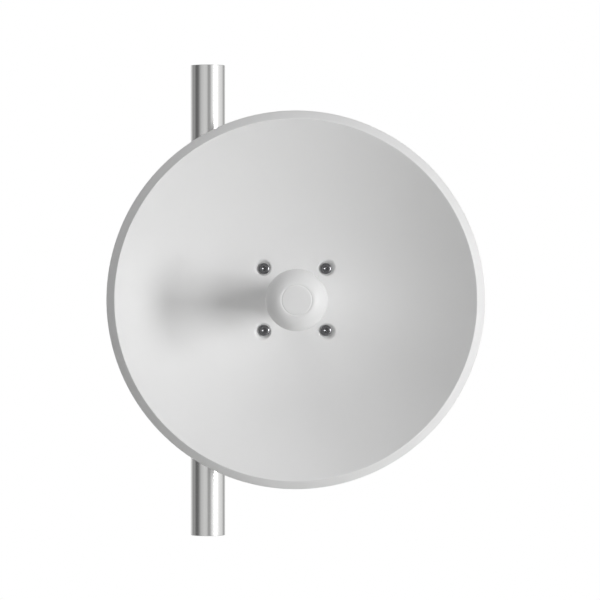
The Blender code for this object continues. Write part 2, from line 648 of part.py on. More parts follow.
def build_clamp():
    """The cast clamp bracket with two cheeks for the tilt pivot, and the jaw behind the pole."""
    front_face = POLE_BEHIND_VERTEX - JAW_DEPTH
    rear_face = POLE_BEHIND_VERTEX + JAW_DEPTH
    bracket = build_jaw("clamp_bracket", front_face, 1)
    pivot = (PIVOT_BEHIND, 0.0)
    lock = lock_place(0)
    outline = arc(lock, CHEEK_TOP_RADIUS, 90, 180, 4) + arc(pivot, CHEEK_NOSE_RADIUS, 180, 270, 6)
    root = front_face + CHEEK_ROOT
    outline += [(front_face - CHEEK_HEEL, CHEEK_BOTTOM), (root, CHEEK_BOTTOM), (root, CHEEK_TOP)]
    cheeks = tool("cheeks", across_prism(outline, -CHEEK_OUTER, CHEEK_OUTER), side_place(), UP, AZIMUTH)
    far = front_face + CHEEK_ROOT / 2
    tall = 2 * CHEEK_TOP
    inside = across_prism([(0, -tall), (far, -tall), (far, tall), (0, tall)], -CHEEK_INNER, CHEEK_INNER)
    combine(cheeks, tool("cheek_inside", inside, side_place(), UP, AZIMUTH), "DIFFERENCE")
    combine(bracket, cheeks, "UNION")

    bore = M8_RADIUS + HOLE_CLEARANCE
    cross_holes = bmesh.new()
    for place in (pivot, lock):
        centre = (-place[1], place[0])
        wide = CHEEK_OUTER + THROUGH
        lathe([(0, -wide), (bore, -wide), (bore, wide), (0, wide)], BOLT_SEGMENTS,
              bm=cross_holes, centre=centre)
    combine(bracket, tool("cheek_holes", cross_holes, side_place(), RIGHT, AZIMUTH), "DIFFERENCE")

    places = list(clamp_bolt_places().values())
    holes = bolt_holes("bracket_bolt_holes", places, bore, -front_face - JAW_FLANGE - THROUGH,
                       THROUGH - front_face, side_place(), FRONT, AZIMUTH)
    combine(bracket, holes, "DIFFERENCE")

    jaw = build_jaw("rear_jaw", rear_face, -1)
    pockets = bmesh.new()
    for low, high in ((POCKET_LOW, POCKET_HIGH), (-POCKET_HIGH, -POCKET_LOW)):
        mouth = [(POCKET_HALF, low), (POCKET_HALF, high), (-POCKET_HALF, high), (-POCKET_HALF, low)]
        prism(mouth, -rear_face - POCKET_DEPTH, POCKET_DEPTH - rear_face, bm=pockets)
    combine(jaw, tool("jaw_pockets", pockets, side_place(), FRONT, AZIMUTH), "DIFFERENCE")
    holes = bolt_holes("jaw_bolt_holes", places, bore, -rear_face - THROUGH,
                       JAW_FLANGE + THROUGH - rear_face, side_place(), FRONT, AZIMUTH)
    combine(jaw, holes, "DIFFERENCE")

    for corner, (across, up) in clamp_bolt_places().items():
        seat = side_place() + Vector((across, front_face - GAP, up))
        length = rear_face - front_face + M8_NUT + 2 * THREAD_PROUD
        hex_bolt("clamp_bolt_" + corner, seat, REAR, AZIMUTH, M8_RADIUS, M8_FLATS, M8_HEAD, length)
        seat = side_place() + Vector((across, rear_face + GAP, up))
        flange_nut("clamp_nut_" + corner, seat, REAR, AZIMUTH, M8_RADIUS, M8_FLATS, M8_NUT, M8_FLANGE)


def build_tilt_bolts():
    """The pivot bolt and the lock bolt, which cross both cheeks and both ears, with their nuts."""
    for name, place in (("pivot", (PIVOT_BEHIND, 0.0)), ("lock", lock_place(0))):
        seat = side_place() + Vector((-FORK_OUTER - GAP, place[0], place[1]))
        length = 2 * FORK_OUTER + M8_NUT + THREAD_PROUD
        hex_bolt(name + "_bolt", seat, RIGHT, AZIMUTH, M8_RADIUS, M8_FLATS, M8_HEAD, length)
        seat = side_place() + Vector((FORK_OUTER + GAP, place[0], place[1]))
        flange_nut(name + "_nut", seat, RIGHT, AZIMUTH, M8_RADIUS, M8_FLATS, M8_NUT, M8_FLANGE)


def rounded_case(outline, start, end, soft_edge):
    """An upright case along local Z, with the edge at its far end rounded in two steps."""
    bm = bmesh.new()
    levels = [(start, 0.0), (end - soft_edge, 0.0), (end - soft_edge * 0.3, soft_edge * 0.3),
              (end, soft_edge)]
    loops = []
    for height, inward in levels:
        loop = []
        for x, y in outline:
            shrink_x = x - math.copysign(inward, x)
            shrink_y = y - math.copysign(inward, y)
            loop.append(bm.verts.new((shrink_x, shrink_y, height)))
        loops.append(loop)
    bm.faces.new(loops[0])
    bm.faces.new(list(reversed(loops[-1])))
    count = len(outline)
    for low, high in zip(loops, loops[1:]):
        for step in range(count):
            after = (step + 1) % count
            bm.faces.new((low[step], high[step], high[after], low[after]))
    return bm


def build_radio():
    """The radio behind the dish: a tub with a spigot for the feed, its cover, and its fittings."""
    outline = rounded_rectangle(RADIO_HALF_WIDTH, RADIO_HALF_HEIGHT, RADIO_CORNER)
    tub = rounded_case(outline, RADIO_FRONT, RADIO_SPLIT, TUB_EDGE)
    tub = add_object("radio_housing", tub, WHITE_PLASTIC, ahead(0), REAR, TILT)
    inside, tip = -RADIO_FRONT - SPIGOT_ROOT, COLLAR_TOP - SPIGOT_SHORT
    spigot = [(0, inside), (SPIGOT_RADIUS, inside), (SPIGOT_RADIUS, tip), (0, tip)]
    spigot = tool("spigot", lathe(spigot, FEED_SEGMENTS), ahead(0), FRONT, TILT)
    combine(tub, spigot, "UNION")

    outline = rounded_rectangle(RADIO_HALF_WIDTH, RADIO_HALF_HEIGHT - DOOR_HEIGHT / 2, RADIO_CORNER)
    cover = rounded_case(outline, RADIO_SPLIT + GAP, RADIO_BACK, COVER_EDGE)
    add_object("radio_cover", cover, WHITE_PLASTIC, ahead(0, 0, DOOR_HEIGHT / 2), REAR, TILT)

    sill = -RADIO_HALF_HEIGHT
    door_half = (DOOR_HEIGHT - DOOR_GAP) / 2
    outline = rounded_rectangle(RADIO_HALF_WIDTH, door_half, DOOR_CORNER)
    door = rounded_case(outline, RADIO_SPLIT + GAP, RADIO_BACK - DOOR_STEP, DOOR_EDGE)
    add_object("port_door", door, WHITE_PLASTIC, ahead(0, 0, sill + door_half), REAR, TILT)

    middle = (RADIO_FRONT + RADIO_SPLIT) / 2
    body, bore, length = GLAND_RADIUS, GLAND_BORE_RADIUS, GLAND_LENGTH
    gland = [(0, GAP), (body - GAP, GAP), (body - GAP, length * 0.20), (body, length * 0.25, "hex"),
             (body, length * 0.55, "hex"), (body * 0.90, length * 0.60), (body * 0.85, length * 0.85),
             (body * 0.65, length), (bore, length), (bore, length * 0.70), (0, length * 0.70)]
    gland = lathe(gland, BOLT_SEGMENTS)
    add_object("cable_gland", gland, GREY_PLASTIC, behind(middle, 0, sill), DOWN, TILT)

    window = rounded_rectangle(WINDOW_HALF_WIDTH, WINDOW_HALF_HEIGHT, WINDOW_CORNER)
    window = prism(window, RADIO_BACK + GAP, RADIO_BACK + WINDOW_PROUD)
    add_object("status_window", window, WINDOW_PLASTIC, ahead(0, 0, WINDOW_UP), REAR, TILT)

    head, drive = GROUND_SCREW_RADIUS, GROUND_SCREW_RADIUS * 0.55
    screw = [(0, GROUND_SCREW_HEAD), (drive, GROUND_SCREW_HEAD), (head, GROUND_SCREW_HEAD * 0.7),
             (head, GAP), (0, GAP)]
    screw = lathe(screw, BOLT_SEGMENTS)
    add_object("ground_screw", screw, STAINLESS, behind(middle, GROUND_SCREW_ACROSS, sill), DOWN, TILT)


def build_pole():
    """A plain tube, cut square at both ends."""
    outer = POLE_DIAMETER / 2
    inner = outer - POLE_WALL
    rings = [(inner, 0), (outer, 0), (outer, POLE_LENGTH), (inner, POLE_LENGTH)]
    add_object("pole", lathe(rings, 48, bored=True), STAINLESS, (0, POLE_AXIS_Y, 0), UP, None)


build_pole()
build_clamp()
build_tilt_bolts()
build_tilt_fork()
build_mounting_plate()
build_reflector()
build_front_screws()
build_feed()
build_radio()
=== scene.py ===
import math

import bmesh
import bpy
import numpy as np
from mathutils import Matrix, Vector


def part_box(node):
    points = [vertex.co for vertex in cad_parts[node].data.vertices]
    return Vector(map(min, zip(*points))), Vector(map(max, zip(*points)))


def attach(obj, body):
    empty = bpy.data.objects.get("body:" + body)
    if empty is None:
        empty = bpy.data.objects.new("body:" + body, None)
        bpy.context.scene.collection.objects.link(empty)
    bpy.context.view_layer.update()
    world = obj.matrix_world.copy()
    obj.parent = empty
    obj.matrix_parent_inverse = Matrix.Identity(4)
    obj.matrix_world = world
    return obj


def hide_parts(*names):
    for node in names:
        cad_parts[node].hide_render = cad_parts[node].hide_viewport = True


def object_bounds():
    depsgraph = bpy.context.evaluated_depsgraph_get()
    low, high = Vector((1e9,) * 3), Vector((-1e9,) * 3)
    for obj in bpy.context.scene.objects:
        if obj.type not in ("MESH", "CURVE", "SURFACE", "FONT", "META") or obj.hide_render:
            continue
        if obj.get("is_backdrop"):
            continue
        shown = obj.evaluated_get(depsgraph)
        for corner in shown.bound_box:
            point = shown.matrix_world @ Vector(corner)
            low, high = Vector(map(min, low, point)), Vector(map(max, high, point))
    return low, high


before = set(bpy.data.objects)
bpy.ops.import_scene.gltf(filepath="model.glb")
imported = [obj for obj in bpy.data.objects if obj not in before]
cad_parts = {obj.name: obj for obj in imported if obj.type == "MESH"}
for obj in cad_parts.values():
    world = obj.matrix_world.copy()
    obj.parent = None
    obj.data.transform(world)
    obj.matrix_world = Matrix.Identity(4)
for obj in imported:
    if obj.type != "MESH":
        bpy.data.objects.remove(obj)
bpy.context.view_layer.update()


# Pole: a stainless steel tube, cut square at both ends and deburred. It was drawn and polished
# lengthwise, so it mirrors the studio in upright stripes that are hardly blurred along its height.
pole_low, pole_high = (np.array(corner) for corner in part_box("pole"))
POLE_RADIUS = (pole_high[0] - pole_low[0]) / 2
POLE_WALL = 0.0020
POLE_CHAMFER = 0.0004
pole_axis = (pole_low + pole_high) / 2


def srgb(code, alpha=1.0):
    """A colour written as an sRGB hex code, in the linear values that a shader takes."""
    parts = np.array([int(code[place:place + 2], 16) for place in (1, 3, 5)]) / 255
    linear = np.where(parts <= 0.04045, parts / 12.92, ((parts + 0.055) / 1.055) ** 2.4)
    return (*(float(part) for part in linear), alpha)


def add_node(tree, kind, settings=None, links=None):
    """Add a node. Settings are attributes, or socket values where the name is an input's."""
    node = tree.nodes.new(kind)
    for name, value in (settings or {}).items():
        if isinstance(name, str) and hasattr(node, name):
            setattr(node, name, value)
        else:
            node.inputs[name].default_value = value
    for name, source in (links or {}).items():
        tree.links.new(source, node.inputs[name])
    return node


def new_material(name, color, **sockets):
    """A material with one Principled shader, its uniform values set on the shader's own sockets."""
    material = bpy.data.materials.new(name)
    material.use_nodes = True
    shader = material.node_tree.nodes["Principled BSDF"]
    shader.inputs["Base Color"].default_value = srgb(color)
    for socket, value in sockets.items():
        shader.inputs[socket.replace("_", " ")].default_value = value
    return material, material.node_tree, shader


def grid_mesh(name, points, close_u=False, close_v=False, smooth_angle=40.0):
    """A mesh from one grid of points, points[u, v], with quads between neighbours."""
    return shell_mesh(name, [(points, close_u, close_v)], smooth_angle)


def shell_mesh(name, grids, smooth_angle=40.0):
    """A smooth-shaded object from grids given as (points, close_u, close_v), one shell for each.

    The normal of a quad is along the step in v crossed with the step in u, which is outwards for a
    profile that runs up its outer side and is turned about +Z. Points that coincide are merged.
    """
    places, quads, count = [], [], 0
    for points, close_u, close_v in grids:
        rows, columns = points.shape[:2]
        index = np.arange(rows * columns).reshape(rows, columns) + count
        if close_u:
            index = np.vstack([index, index[:1]])
        if close_v:
            index = np.hstack([index, index[:, :1]])
        corners = [index[:-1, :-1], index[:-1, 1:], index[1:, 1:], index[1:, :-1]]
        quads.append(np.stack(corners, axis=-1).reshape(-1, 4))
        places.append(points.reshape(-1, 3))
        count += rows * columns
    places, quads = np.concatenate(places), np.concatenate(quads)
    keys = np.round(places / 1e-7).astype(np.int64)
    first, place = np.unique(keys, axis=0, return_index=True, return_inverse=True)[1:]
    faces = [tuple(dict.fromkeys(quad)) for quad in place.reshape(-1)[quads].tolist()]
    mesh = bpy.data.meshes.new(name)
    mesh.from_pydata(places[first].tolist(), [], [face for face in faces if len(face) > 2])
    mesh.validate()
    mesh.shade_smooth()
    mesh.set_sharp_from_angle(angle=math.radians(smooth_angle))
    piece = bpy.data.objects.new(name, mesh)
    bpy.context.scene.collection.objects.link(piece)
    return piece


def turned(rings, segments):
    """Points of rings of (radius, height) about +Z: (r cos a, r sin a, h).

    A radius or a height is one number, or an array with a value for each angle.
    """
    angle = np.linspace(0, math.tau, segments, endpoint=False)
    radius, height = (np.array([np.broadcast_to(ring[part], segments) for ring in rings]) for part in (0, 1))
    return np.stack([radius * np.cos(angle), radius * np.sin(angle), height], axis=-1)


def finish_piece(piece, material, body, slot, *nodes):
    """Give a piece its material, the body it rides on and the nodes it replaces. Its record slot is not used.
    """
    piece.data.materials.clear()
    piece.data.materials.append(material)
    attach(piece, body)
    if nodes:
        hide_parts(*nodes)
    return piece


polished_tube, tree, shader = new_material(
    "polished_stainless_tube", "#D2D2D1", Metallic=1.0, Roughness=0.16)
# Polishing lines run along the tube, about 0.6 mm apart and 150 mm long
where = add_node(tree, "ShaderNodeTexCoord")
stretch = add_node(tree, "ShaderNodeMapping", {"Scale": (1600.0, 1600.0, 7.0)},
                   {"Vector": where.outputs["Object"]})
lines = add_node(tree, "ShaderNodeTexNoise", {"Scale": 1.0, "Detail": 3.0},
                 {"Vector": stretch.outputs["Vector"]})
worn = add_node(tree, "ShaderNodeMapRange", {"To Min": 0.10, "To Max": 0.20},
                {"Value": lines.outputs["Fac"]})
tree.links.new(worn.outputs["Result"], shader.inputs["Roughness"])

outer, inner, cut = POLE_RADIUS, POLE_RADIUS - POLE_WALL, POLE_CHAMFER
foot, top = pole_low[2], pole_high[2]
section = [(inner, foot + cut), (inner + cut, foot), (outer - cut, foot), (outer, foot + cut)]
section += [(outer, top - cut), (outer - cut, top), (inner + cut, top), (inner, top - cut)]
shape = turned(section, 160) + [pole_axis[0], pole_axis[1], 0.0]
pole_tube = grid_mesh("pole_tube", shape, close_u=True, close_v=True, smooth_angle=30)
finish_piece(pole_tube, polished_tube, "mast", "stainless_steel", "pole")


# Clamp: two aluminium castings close on the pole, each with a V that bites it, and the front one
# carries two cheeks for the tilt pivot. They were bead blasted, which leaves a dull grey grain.
CAST_EDGE = 0.0009


def softened(name, node, edge, bends=(), bend_radius=0.0):
    """A copy of a CAD node, its triangles merged into flat faces and its edges rounded.

    Every edge where faces meet at more than 25 degrees is bevelled. An edge along the height whose
    middle lies at one of the bends, given as (x, y), is bevelled by the bend's radius instead.
    """
    work = bmesh.new()
    work.from_mesh(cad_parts[node].data)
    bmesh.ops.remove_doubles(work, verts=work.verts, dist=1e-6)
    bmesh.ops.dissolve_limit(work, angle_limit=math.radians(1), verts=work.verts, edges=work.edges)
    weights = work.edges.layers.float.new("bevel_weight_edge")
    widest = max(edge, bend_radius)
    for line in work.edges:
        if len(line.link_faces) != 2 or line.calc_face_angle() < math.radians(25):
            continue
        line[weights] = edge / widest
        centre = (line.verts[0].co + line.verts[1].co) / 2
        if any(math.hypot(centre.x - x, centre.y - y) < 0.0002 for x, y in bends):
            line[weights] = 1.0
    mesh = bpy.data.meshes.new(name)
    work.to_mesh(mesh)
    work.free()
    mesh.shade_smooth()
    piece = bpy.data.objects.new(name, mesh)
    bpy.context.scene.collection.objects.link(piece)
    bevel = piece.modifiers.new("rounded_edges", "BEVEL")
    bevel.limit_method = "WEIGHT"
    bevel.width, bevel.segments = widest, 4
    bevel.use_clamp_overlap = False
    piece.modifiers.new("flat_faces", "WEIGHTED_NORMAL").keep_sharp = True
    return piece


cast_aluminium, tree, shader = new_material(
    "bead_blasted_aluminium", "#BEBFC0", Metallic=1.0, Roughness=0.52)
# Blasting dents the skin every 0.7 mm or so, and the casting's own waviness is about 9 mm across
where = add_node(tree, "ShaderNodeTexCoord")
dents = add_node(tree, "ShaderNodeTexVoronoi", {"Scale": 1400.0}, {"Vector": where.outputs["Object"]})
skin = add_node(tree, "ShaderNodeTexNoise", {"Scale": 110.0, "Detail": 2.0},
                {"Vector": where.outputs["Object"]})
dull = add_node(tree, "ShaderNodeMapRange", {"To Min": 0.44, "To Max": 0.62},
                {"Value": skin.outputs["Fac"]})
bump = add_node(tree, "ShaderNodeBump", {"Strength": 0.35, "Distance": 0.00012},
                {"Height": dents.outputs["Distance"]})
tree.links.new(dull.outputs["Result"], shader.inputs["Roughness"])
tree.links.new(bump.outputs["Normal"], shader.inputs["Normal"])

for node in ("clamp_bracket", "rear_jaw"):
    casting = softened(node + "_casting", node, CAST_EDGE)
    finish_piece(casting, cast_aluminium, "clamp", "cast_aluminium", node)


# Bolts and nuts: A2 stainless, cold headed, with rolled threads. A hexagon's corners are cut by a
# cone, so each flat ends in an arc, and each nut has a flange in place of a washer.
M8 = {"radius": 0.0040, "flats": 0.0130, "head": 0.0055, "nut": 0.0065, "flange": 0.0085, "pitch": 0.00125}
M6 = {"radius": 0.0030, "flats": 0.0100, "head": 0.0040, "nut": 0.0050, "flange": 0.0066, "pitch": 0.00100}
THREADED = {"clamp": 0.042, "tilt": 0.018, "fork": 0.010, "dish": 0.014}
COLUMNS = 48
BOLT_GOES = {"rear": ((0, 1, 0), (1, 0, 0)), "right": ((1, 0, 0), (0, 0, -1))}


def aimed(points, place, along, side):
    """Points whose own +Z is turned along one axis and own +X along another, moved to their place."""
    return place + points @ np.array([side, np.cross(along, side), along], dtype=float)


def hexagon(flats):
    """The reach of a hexagon's outline at each column: half its flats / cos(angle to the flat)."""
    angle = np.linspace(0, math.tau, COLUMNS, endpoint=False)
    return flats / 2 / np.cos(angle % (math.tau / 6) - math.tau / 12)


def chamfer_fall(flats):
    """How far a 30 degree cone has fallen at each column of a hexagon, from a flat disc in its middle."""
    return (hexagon(flats) - 0.47 * flats) * math.tan(math.radians(30))


def thread(radius, pitch, start, end):
    """Rings of a thread between two heights, ended by a 45 degree chamfer and closed.

    Its cut is a clipped triangle wave of height / pitch - angle / turn, and fades in over one turn.
    """
    turn = np.arange(COLUMNS) / COLUMNS
    rings = []
    for height in np.arange(start, end, pitch / 6):
        wave = np.abs(2 * ((height / pitch - turn) % 1) - 1)
        cut = np.clip(1.4 * wave - 0.2, 0, 1) * min((height - start) / pitch, 1)
        rings.append((np.minimum(radius - 0.6 * pitch * cut, 0.8 * radius + end - height), height))
    return rings + [(0.8 * radius, end), (0, end)]


def hex_bolt(size, length, threaded):
    """Points of a bolt about +Z: its head's top is at -head, its bearing face at 0, its tip at length."""
    reach, head = hexagon(size["flats"]), size["head"]
    rings = [(0, -head), (0.47 * size["flats"], -head), (reach, chamfer_fall(size["flats"]) - head)]
    rings += [(reach - 0.0001, -0.0001), (reach - 0.0003, 0), (size["radius"], 0)]
    rings += thread(size["radius"], size["pitch"], length - threaded, length)
    return turned(rings, COLUMNS)


def flange_nut(size):
    """Points of a flanged nut about +Z, from its bearing face at 0: a ring with a chamfered bore."""
    reach, height, bore = hexagon(size["flats"]), size["nut"], size["radius"] + 0.0001
    flange, foot = size["flange"], 0.22 * size["nut"]
    rings = [(bore, 0.0006), (bore + 0.0006, 0), (flange - 0.0003, 0), (flange, 0.0003)]
    rings += [(flange, foot * 0.55), (flange - 0.0003, foot * 0.75), (reach, foot)]
    rings += [(reach, height - chamfer_fall(size["flats"]))]
    rings += [(0.47 * size["flats"], height), (bore + 0.0006, height), (bore, height - 0.0006)]
    return turned(rings, COLUMNS)


def fasten(node, goes, size, body, threaded=0.0):
    """Replace a CAD bolt, or a nut where nothing is threaded, by a fine one in the same place."""
    low, high = (np.array(corner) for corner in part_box(node))
    along, side = BOLT_GOES[goes]
    axis = along.index(1)
    place = (low + high) / 2
    place[axis] = low[axis] + (size["head"] if threaded else 0)
    if threaded:
        points = hex_bolt(size, high[axis] - place[axis], threaded)
    else:
        points = flange_nut(size)
    piece = grid_mesh(node + "_turned", aimed(points, place, along, side), close_u=not threaded,
                      close_v=True, smooth_angle=32)
    finish_piece(piece, bolt_stainless, body, "stainless_steel", node)


bolt_stainless, tree, shader = new_material("a2_stainless_bolt", "#C6C5C2", Metallic=1.0, Roughness=0.27)
# Heading dies leave faint rings and handling leaves scuffs, about 1.2 mm long
where = add_node(tree, "ShaderNodeTexCoord")
scuffs = add_node(tree, "ShaderNodeTexNoise", {"Scale": 820.0, "Detail": 3.0, "Distortion": 0.6},
                  {"Vector": where.outputs["Object"]})
worn = add_node(tree, "ShaderNodeMapRange", {"To Min": 0.18, "To Max": 0.38},
                {"Value": scuffs.outputs["Fac"]})
bump = add_node(tree, "ShaderNodeBump", {"Strength": 0.12, "Distance": 0.00004},
                {"Height": scuffs.outputs["Fac"]})
tree.links.new(worn.outputs["Result"], shader.inputs["Roughness"])
tree.links.new(bump.outputs["Normal"], shader.inputs["Normal"])

for corner in ("upper_left", "upper_right", "lower_left", "lower_right"):
    fasten("clamp_bolt_" + corner, "rear", M8, "clamp", threaded=THREADED["clamp"])
    fasten("clamp_nut_" + corner, "rear", M8, "clamp")
for name in ("pivot", "lock"):
    fasten(name + "_bolt", "right", M8, "clamp", threaded=THREADED["tilt"])
    fasten(name + "_nut", "right", M8, "clamp")


# Tilt fork: 3 mm steel bent to a U, zinc plated and passivated clear. Its ears turn on the pivot bolt
# and slide along the lock bolt in two curved slots.
FORK_EDGE = 0.00025
FORK_BEND = 0.0030

zinc_steel, tree, shader = new_material("zinc_plated_steel", "#C9CCCF", Metallic=1.0, Roughness=0.36)
# The plating clouds in patches some 12 mm across, over rolling lines 0.8 mm apart in the sheet
where = add_node(tree, "ShaderNodeTexCoord")
cloud = add_node(tree, "ShaderNodeTexNoise", {"Scale": 85.0, "Detail": 4.0},
                 {"Vector": where.outputs["Object"]})
clouded = add_node(tree, "ShaderNodeMapRange",
                   {"From Min": 0.3, "From Max": 0.7, "To Min": 0.27, "To Max": 0.46},
                   {"Value": cloud.outputs["Fac"]})
stretch = add_node(tree, "ShaderNodeMapping", {"Scale": (60.0, 1200.0, 1200.0)},
                   {"Vector": where.outputs["Object"]})
rolled = add_node(tree, "ShaderNodeTexNoise", {"Scale": 1.0, "Detail": 2.0},
                  {"Vector": stretch.outputs["Vector"]})
bump = add_node(tree, "ShaderNodeBump", {"Strength": 0.10, "Distance": 0.00004},
                {"Height": rolled.outputs["Fac"]})
tint = add_node(tree, "ShaderNodeValToRGB", {}, {"Fac": cloud.outputs["Fac"]})
tint.color_ramp.elements[0].position, tint.color_ramp.elements[0].color = 0.35, srgb("#BFC3C8")
tint.color_ramp.elements[1].position, tint.color_ramp.elements[1].color = 0.65, srgb("#D0D2D2")
tree.links.new(clouded.outputs["Result"], shader.inputs["Roughness"])
tree.links.new(bump.outputs["Normal"], shader.inputs["Normal"])
tree.links.new(tint.outputs["Color"], shader.inputs["Base Color"])

fork_low, fork_high = (np.array(corner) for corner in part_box("tilt_fork"))
bends = [(fork_low[0], fork_low[1]), (fork_high[0], fork_low[1])]
fork = softened("tilt_fork_pressing", "tilt_fork", FORK_EDGE, bends, FORK_BEND)
finish_piece(fork, zinc_steel, "dish", "zinc_plated_steel", "tilt_fork")
for name in ("upper", "lower"):
    fasten(name + "_fork_bolt", "rear", M6, "dish", threaded=THREADED["fork"])
    fasten(name + "_fork_nut", "rear", M6, "dish")


# Reflector: aluminium sheet, spun to a paraboloid with a lip that slopes back at 45 degrees and a
# turned edge, then powder coated white. Four dimples take the screws, so their heads lie sunk.
rim_low, rim_high = (np.array(corner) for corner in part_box("reflector"))
RIM_RADIUS = (rim_high[0] - rim_low[0]) / 2
CREST_RADIUS = 0.2246
FOCAL_LENGTH = 0.141
SHEET = 0.0016
HUB_HOLE = 0.018
SCREW_SPACING = 0.078
DIMPLE_FLOOR = 0.0026
DIMPLE_FLOOR_RADIUS = 0.0074
DIMPLE_MOUTH_RADIUS = 0.0100
DIMPLE_CREASE = 0.0010
EDGE_TURN = 0.0030
CAP_FRONT = 0.165
CREST_AHEAD = CREST_RADIUS ** 2 / (4 * FOCAL_LENGTH)
vertex = (rim_low + rim_high) / 2
vertex[1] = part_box("feed_cap")[0][1] + CAP_FRONT


def facing_front(points):
    """Turn points about +Z into points about the dish's axis, with their height ahead of its vertex."""
    return np.stack([vertex[0] + points[..., 0], vertex[1] - points[..., 2],
                     vertex[2] + points[..., 1]], axis=-1)


def rounded_profile(corners, steps=4):
    """A profile through corners of (radius, height, rounding), each corner rounded by a small arc.

    The arc is a quadratic curve from a point the rounding's length before the corner to one after.
    """
    corners = np.array(corners, dtype=float)
    points = [corners[0, :2]]
    for before, here, after in zip(corners, corners[1:], corners[2:]):
        back = before[:2] - here[:2]
        onward = after[:2] - here[:2]
        length = min(here[2], 0.49 * np.linalg.norm(back), 0.49 * np.linalg.norm(onward))
        if length <= 0:
            points.append(here[:2])
            continue
        start = here[:2] + back / np.linalg.norm(back) * length
        end = here[:2] + onward / np.linalg.norm(onward) * length
        for share in np.linspace(0, 1, steps + 1):
            points.append((1 - share) ** 2 * start + 2 * share * (1 - share) * here[:2] + share ** 2 * end)
    points.append(corners[-1, :2])
    return np.array(points)


def soft_min(first, second, width):
    """The lower of two heights, with the crease between them rounded over a width."""
    blend = np.clip(0.5 + 0.5 * (second - first) / width, 0, 1)
    return second * (1 - blend) + first * blend - width * blend * (1 - blend)


def crowded(low, high, centres, reach, fine, coarse):
    """Values from low to high, spaced finely within reach of the centres and coarsely elsewhere."""
    values = [low]
    while values[-1] < high - fine / 2:
        near = min(abs(values[-1] - centre) for centre in centres) < reach
        values.append(values[-1] + (fine if near else coarse))
    values[-1] = high
    return np.array(values)


def dimpled(radius, angle, height, floor, floor_radius):
    """Sink a surface's heights into cones round the four screws.

    Each cone has a flat floor and a wall whose slope takes it from the floor's radius to the mouth's
    where it meets the bowl. The height is the lower of the bowl and the nearest cone.
    """
    half = SCREW_SPACING / 2
    across, up = np.abs(radius * np.cos(angle)), np.abs(radius * np.sin(angle))
    distance = np.hypot(across - half, up - half)
    reach = SCREW_SPACING / math.sqrt(2)
    rise = reach ** 2 / (4 * FOCAL_LENGTH) - DIMPLE_FLOOR
    slope = rise / (DIMPLE_MOUTH_RADIUS - DIMPLE_FLOOR_RADIUS)
    wall = floor + np.maximum((distance - floor_radius) * slope, 0)
    return soft_min(height, wall, DIMPLE_CREASE)


powder_coat, tree, shader = new_material(
    "white_powder_coat", "#ECECEC", Roughness=0.46, IOR=1.5, Specular_IOR_Level=0.4)
# Powder flows out into a faint orange peel about 1.5 mm across, with a finer grain on it
where = add_node(tree, "ShaderNodeTexCoord")
peel = add_node(tree, "ShaderNodeTexNoise", {"Scale": 650.0, "Detail": 2.0},
                {"Vector": where.outputs["Object"]})
bump = add_node(tree, "ShaderNodeBump", {"Strength": 0.25, "Distance": 0.00006},
                {"Height": peel.outputs["Fac"]})
tree.links.new(bump.outputs["Normal"], shader.inputs["Normal"])

bowl_radii = crowded(HUB_HOLE, CREST_RADIUS - 0.001, [SCREW_SPACING / math.sqrt(2)], 0.0135, 0.0006, 0.0045)
screw_angles = [math.radians(turn) for turn in (45, 135, 225, 315)]
angles = crowded(0, math.tau, screw_angles, math.radians(13), math.radians(0.65), math.radians(2.2))[:-1]
slope = np.arctan(bowl_radii / (2 * FOCAL_LENGTH))
bowl_front = np.stack([bowl_radii, bowl_radii ** 2 / (4 * FOCAL_LENGTH)], axis=-1)
bowl_back = bowl_front + SHEET * np.stack([np.sin(slope), -np.cos(slope)], axis=-1)
rim_ahead = CREST_AHEAD - (RIM_RADIUS - CREST_RADIUS)
edge_ahead = rim_ahead - EDGE_TURN
lip = rounded_profile([
    (*bowl_front[-1], 0), (CREST_RADIUS + 0.0001, CREST_AHEAD, 0.0011),
    (RIM_RADIUS, rim_ahead, 0.0014), (RIM_RADIUS, edge_ahead, 0.0004),
    (RIM_RADIUS - SHEET, edge_ahead, 0.0004), (RIM_RADIUS - SHEET, rim_ahead - SHEET * 0.7, 0.0008),
    (CREST_RADIUS + 0.0004, CREST_AHEAD - SHEET * 1.5, 0.0010), (*bowl_back[-1], 0)])
turn = np.broadcast_to(angles, (len(bowl_radii), len(angles)))
front_height = dimpled(bowl_front[:, :1], turn, bowl_front[:, 1:], DIMPLE_FLOOR, DIMPLE_FLOOR_RADIUS)
back_height = dimpled(bowl_back[:, :1], turn, bowl_back[:, 1:], DIMPLE_FLOOR - SHEET,
                      DIMPLE_FLOOR_RADIUS + SHEET / 2)
lip_height = np.repeat(lip[1:-1, 1:], len(angles), axis=1)
radius = np.concatenate([bowl_front[:, 0], lip[1:-1, 0], bowl_back[::-1, 0]])[:, None]
height = np.concatenate([front_height, lip_height, back_height[::-1]])
shell = np.stack([radius * np.cos(angles), radius * np.sin(angles), height], axis=-1)
bowl = grid_mesh("dish_shell", facing_front(shell[::-1]), close_u=True, close_v=True, smooth_angle=50)
finish_piece(bowl, powder_coat, "dish", "white_powder_coat", "reflector")


# Mounting plate: 3 mm steel, zinc plated like the fork, with an arm whose edges are bent back as
# flanges. Four bosses stand forward to the dimples of the dish, which the front screws pull on to it.
PLATE_FRONT = 0.0022
PLATE_SHEET = 0.0030
PLATE_BEND = 0.0045
PLATE_EDGE = 0.0003
PAD_HALF = 0.052
PAD_CORNER = 0.010
ARM_TOP, ARM_BOTTOM = 0.044, -0.034
ARM_CORNER = 0.008
FLANGE_BACK = 0.0152
BOSS_RADIUS = 0.0095
BOSS_FRONT = 0.0007
OVERLAP = 0.00003


def from_behind(points, across=0.0, up=0.0, depth=0.0):
    """Points with +X to the left as seen from the front, +Y up and +Z back, set at the vertex."""
    return aimed(points, vertex + [across, depth, up], (0, 1, 0), (-1, 0, 0))


